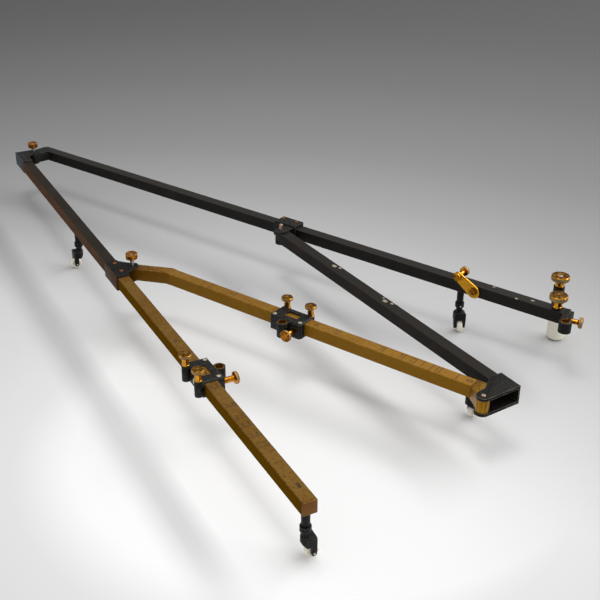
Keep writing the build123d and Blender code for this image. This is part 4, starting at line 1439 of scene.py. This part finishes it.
@dataclass(frozen=True)
class Scale:
    """Marks engraved across the top of one brass tube and filled with wax.

    The cell is a digit's step and its height as drawn, and centring is half of such a step.
    """

    name: str
    body: str
    on: Place
    axis: float
    marks: tuple[float, ...]
    signs: tuple[Sign, ...]
    lift: float = 0.03
    line: float = 0.62
    half_mark: float = 5.4
    cell: tuple[float, float] = (2.7, 4.0)
    centring: float = 1.3
    bold: float = 1.5
    bold_above: float = 4.5

    def build(self) -> None:
        """Lay every stroke down as one thin quad."""
        quads = []
        for along in self.marks:
            start, end = self.axis - self.half_mark, self.axis + self.half_mark
            quads.append(self._stroke((along, start), (along, end), self.line))
        for sign in self.signs:
            quads += self._digits(sign)
        points = np.vstack(quads)
        faces = np.arange(len(points)).reshape(-1, 4)
        piece(self.name, self.on.put(points), faces, self.body, WAX, at=self.on)

    def _stroke(self, start: Pair, end: Pair, width: float) -> np.ndarray:
        """A quad whose corners lie half the width to each side of a line's two ends.

        Args:
            start: where the line starts, along and across the bar.
            end: where it ends.
            width: its width.

        Returns:
            The four corners.
        """
        a, b = np.array(start, float), np.array(end, float)
        run = (b - a) / np.linalg.norm(b - a)
        side = np.array([-run[1], run[0]]) * width / 2
        flat = np.array([a + side, a - side, b - side, b + side])
        return np.column_stack([flat, np.full(4, self.lift)])

    def _digits(self, sign: Sign) -> list[np.ndarray]:
        """The strokes of digits that stand along the bar and are read across it.

        Args:
            sign: the digits and their place.

        Returns:
            A quad for each stroke.
        """
        width = self.line * (self.bold if sign.size > self.bold_above else 1.0)
        wide, high = self.cell
        centre = len(sign.text) * self.centring
        quads = []
        for place, digit in enumerate(sign.text):
            ends = [(sign.along + y * sign.size / high,
                     sign.across - (x + place * wide - centre) * sign.size / high)
                    for x, y in STROKES[digit]]
            quads += [self._stroke(start, end, width) for start, end in zip(ends, ends[1:])]
        return quads


def ratio_signs(stations: Sequence[float], back: float, axis: float) -> tuple[Sign, ...]:
    """The two numbers of each ratio, side by side before its mark.

    Args:
        stations: where the marks are, from the first ratio on.
        back: how far before its mark a sign starts.
        axis: where the tube's middle runs.

    Returns:
        The signs, the larger numbers first.
    """
    aside, size = 2.6, 3.4
    larger = tuple(Sign(str(k), x - back, axis + aside, size) for k, x in zip(RATIOS, stations))
    return larger + tuple(Sign("1", x - back, axis - aside, size) for x in stations)


def near_scale() -> Scale:
    """The near arm's scale.

    With a main arm of length a, a ratio of 1 to k is set at a (1 - 1 / 2k) from the apex.

    Returns:
        The scale.
    """
    marks = tuple(TRACER * (1 - 1 / (2 * k)) for k in RATIOS)
    signs = ratio_signs(marks[:6], 5.4, NEAR_AXIS) \
        + (Sign("8", 781.0, NEAR_AXIS + 0.6, 5.8), Sign("10", 542.0, NEAR_AXIS, 3.8))
    return Scale("near_scale", "near_arm", NEAR, NEAR_AXIS, marks, signs)


def link_scale() -> Scale:
    """The link's scale, with a few plain divisions of the arm after its ratios.

    A parallelogram side of half the main arm's length a sets a ratio of 1 to k at
    a (k - 1) / (2k - 1) from the elbow.

    Returns:
        The scale.
    """
    ratios = tuple(TRACER * (k - 1) / (2 * k - 1) for k in RATIOS)
    others = tuple(TRACER / m for m in (6, 8, 9)) + (380.8,)
    signs = ratio_signs(ratios[:4], 5.2, LINK_AXIS) \
        + (Sign("0", 390.0, LINK_AXIS, 5.2), Sign("10", 226.0, LINK_AXIS, 3.8),
           Sign("6", 120.5, LINK_AXIS, 3.8))
    return Scale("link_scale", "link", LINK, LINK_AXIS, ratios + others, signs)


# ---------------------------------------------------------------- studio
@dataclass(frozen=True)
class Softbox:
    """One area lamp; lengths here and in the rest of the studio are in metres."""

    name: str
    spot: tuple[float, float, float]
    aim: tuple[float, float, float]
    size: tuple[float, float]
    watts: float

    def hang(self) -> None:
        """Hang the lamp so that it faces its aim."""
        data = bpy.data.lights.new(self.name, "AREA")
        data.shape = "RECTANGLE"
        data.size, data.size_y = self.size
        data.energy = self.watts
        made = bpy.data.objects.new(self.name, data)
        made.location = self.spot
        way = Vector(self.aim) - Vector(self.spot)
        made.rotation_euler = way.to_track_quat("-Z", "Y").to_euler()
        bpy.context.scene.collection.objects.link(made)


@dataclass(frozen=True)
class Stage:
    """Pale floor painted with a pool and falloff of light down to grey, soft lamps and the camera.

    Each fall is a distance in metres and the floor's tone there; the floor takes the darker
    of its two falls.
    """

    stand: tuple[float, float, float] = (0.84607, -0.62519, 0.56598)
    look: tuple[float, float] = (-0.75005, 0.66138)
    pitch: float = 28.72
    roll: float = 0.62
    lens: float = 62.93
    sensor: float = 36.0
    far_clip: float = 50.0
    radius: float = 9.0
    rings: int = 18
    sectors: int = 64
    # Painted light: the floor's tones paint a falloff of light from the front and a pool of light round the
    # object.
    front: tuple[float, float, float] = (0.30, -0.35, 0)
    front_reach: float = 2.2
    front_falls: Pairs = ((0.0, 0.95), (0.15, 0.95), (0.28, 0.88), (0.36, 0.79), (0.46, 0.64),
                          (0.66, 0.43), (0.75, 0.355), (0.92, 0.262), (1.0, 0.236),
                          (1.28, 0.173), (1.6, 0.133), (1.8, 0.119), (2.2, 0.107))
    pool: tuple[float, float, float] = (0.270, -0.118, 0)
    pool_falls: Pairs = ((0.0, 0.97), (0.18, 0.97), (0.20, 0.93), (0.22, 0.86), (0.235, 0.8),
                         (0.25, 0.755), (0.285, 0.725), (0.33, 0.685), (0.4, 0.64),
                         (0.6, 0.55), (1.0, 0.5))
    right: tuple[float, float, float] = (0.66, 0.75, 0.0)
    fill: float = 0.58
    behind: float = 0.13
    lamps: tuple[Softbox, ...] = (
        Softbox("side_softbox", (1.55, 2.2, 2.0), (0.97, -0.32, 0.0), (4.5, 0.45), 68),
        Softbox("overhead", (0.0, -0.1, 2.4), (0.0, -0.1, 0.0), (0.8, 0.8), 12.5))

    def build(self) -> None:
        """Set everything up."""
        self._camera()
        self._floor()
        self._world()
        for lamp in self.lamps:
            lamp.hang()
        bpy.context.scene.view_settings.view_transform = "Standard"

    def _camera(self) -> None:
        """Stand the camera so that it looks down along the long arms."""
        level_way = Vector((*self.look, 0)).normalized()
        pitch, roll = math.radians(self.pitch), math.radians(self.roll)
        ahead = level_way * math.cos(pitch) + Vector((0, 0, -math.sin(pitch)))
        right = level_way.cross(Vector((0, 0, 1))).normalized()
        up = right.cross(ahead)
        across = right * math.cos(roll) + up * math.sin(roll)
        rise = up * math.cos(roll) - right * math.sin(roll)
        data = bpy.data.cameras.new("camera")
        data.lens = self.lens
        data.sensor_width = self.sensor
        data.clip_end = self.far_clip
        camera = bpy.data.objects.new("camera", data)
        turn = Matrix((across, rise, -ahead)).transposed().to_4x4()
        camera.matrix_world = Matrix.Translation(self.stand) @ turn
        bpy.context.scene.collection.objects.link(camera)
        bpy.context.scene.camera = camera

    def _floor(self) -> None:
        """Lay a wide disc: the point on ring r at angle a is (r cos a, r sin a, 0)."""
        rings = np.linspace(0.0, self.radius, self.rings + 1)[1:, None]
        angle = np.linspace(0, 2 * np.pi, self.sectors + 1)[:-1]
        grid = np.stack([rings * np.cos(angle), rings * np.sin(angle), 0 * rings * angle], axis=-1)
        points = np.vstack([grid.reshape(-1, 3), [[0, 0, 0]]])
        j = np.arange(self.sectors)
        after = (j + 1) % self.sectors
        base = np.arange(self.rings - 1)[:, None] * self.sectors
        beyond = base + self.sectors
        quads = np.stack([base + j, beyond + j, beyond + after, base + after], axis=-1)
        fan = np.stack([j, after, np.full_like(j, len(points) - 1)], axis=-1)
        mesh = bpy.data.meshes.new("floor")
        mesh.from_pydata(points.tolist(), [], quads.reshape(-1, 4).tolist() + fan.tolist())
        floor = bpy.data.objects.new("floor", mesh)
        bpy.context.scene.collection.objects.link(floor)
        mesh.materials.append(self._floor_paint())

    def _floor_paint(self) -> bpy.types.Material:
        """Paint that stands for light: white near the camera and in a pool round the object, grey far off.

        Returns:
            The material.
        """
        graph = Graph(bpy.data.materials.new("floor_paint"))
        spot = graph.node("TexCoord", output="Object")
        tones = []
        for centre, reach, falls in ((self.front, self.front_reach, self.front_falls),
                                     (self.pool, 1.0, self.pool_falls)):
            away = graph.node("VectorMath", {"operation": "DISTANCE"}, {0: spot, 1: centre},
                              output="Value")
            stops = tuple((distance / reach, (v, v, v, 1)) for distance, v in falls)
            tones.append(graph.node("ValToRGB", {"stops": stops}, {0: away / reach}))
        graph.surface(Base_Color=graph.blend(1.0, *tones, way="DARKEN"), Roughness=0.85,
                      Specular_IOR_Level=0.1)
        return graph.owner

    def _world(self) -> None:
        """Even pale light; what gloss sees is brighter overhead and at both sides."""
        world = bpy.data.worlds.new("studio")
        bpy.context.scene.world = world
        graph = Graph(world)
        way = graph.node("TexCoord", output="Generated")
        rise = graph.split(way)[2]
        right = graph.node("VectorMath", {"operation": "DOT_PRODUCT"}, {0: way, 1: self.right},
                           output="Value")
        sides = right.step(0.62, 0.85) * 1.5 + (0.0 - right).step(0.7, 0.9) * 1.1
        walls = sides * (1.0 - rise.step(0.5, 0.8))
        tone = 0.1 + 0.25 * rise.step(0.0, 0.4) + 0.75 * rise.step(0.5, 0.9) + walls
        camera = graph.node("LightPath", output="Is Camera Ray")
        gloss = Sock(graph, camera.made, "Is Glossy Ray")
        plain = graph.blend(gloss, (self.fill, self.fill, self.fill, 1), tone)
        shown = graph.blend(camera, plain, (self.behind, self.behind, self.behind, 1))
        light = graph.node("Background", values={"Color": shown, "Strength": 1.0})
        graph.node("OutputWorld", values={"Surface": light})


def dress_the_rest() -> None:
    """Give every CAD node that still has its slot's plain material a finish."""
    plain = {Slot.BLACK: CAST_SOOT, Slot.CAST: CAST, Slot.AGED: BRASS_CAST,
             Slot.BRIGHT: LEVER_BRASS, Slot.COPPER: COPPER, Slot.STEEL: STEEL,
             Slot.IVORY: IVORY}
    for node, found in frame["nodes"].items():
        slots = found.material_slots
        held = slots[0].material.name.split(".")[0] if slots else ""
        for slot, finish in plain.items():
            if held == slot.value:
                dress(node, finish)


def main() -> None:
    """Build every class in order."""
    logging.basicConfig(level=logging.INFO, format="%(message)s")
    for part in (Stage(), Bars(), Castings(), Pivots(),
                 Carriage(1, NEAR, station=603.8, post_top=4.1),
                 Carriage(2, LINK, station=198.9, post_top=-0.5),
                 FarEnd(), Lever(), Casters(), near_scale(), link_scale()):
        part.build()
        LOG.info("%s done", type(part).__name__)
    dress_the_rest()


if __name__ == "__main__":
    main()
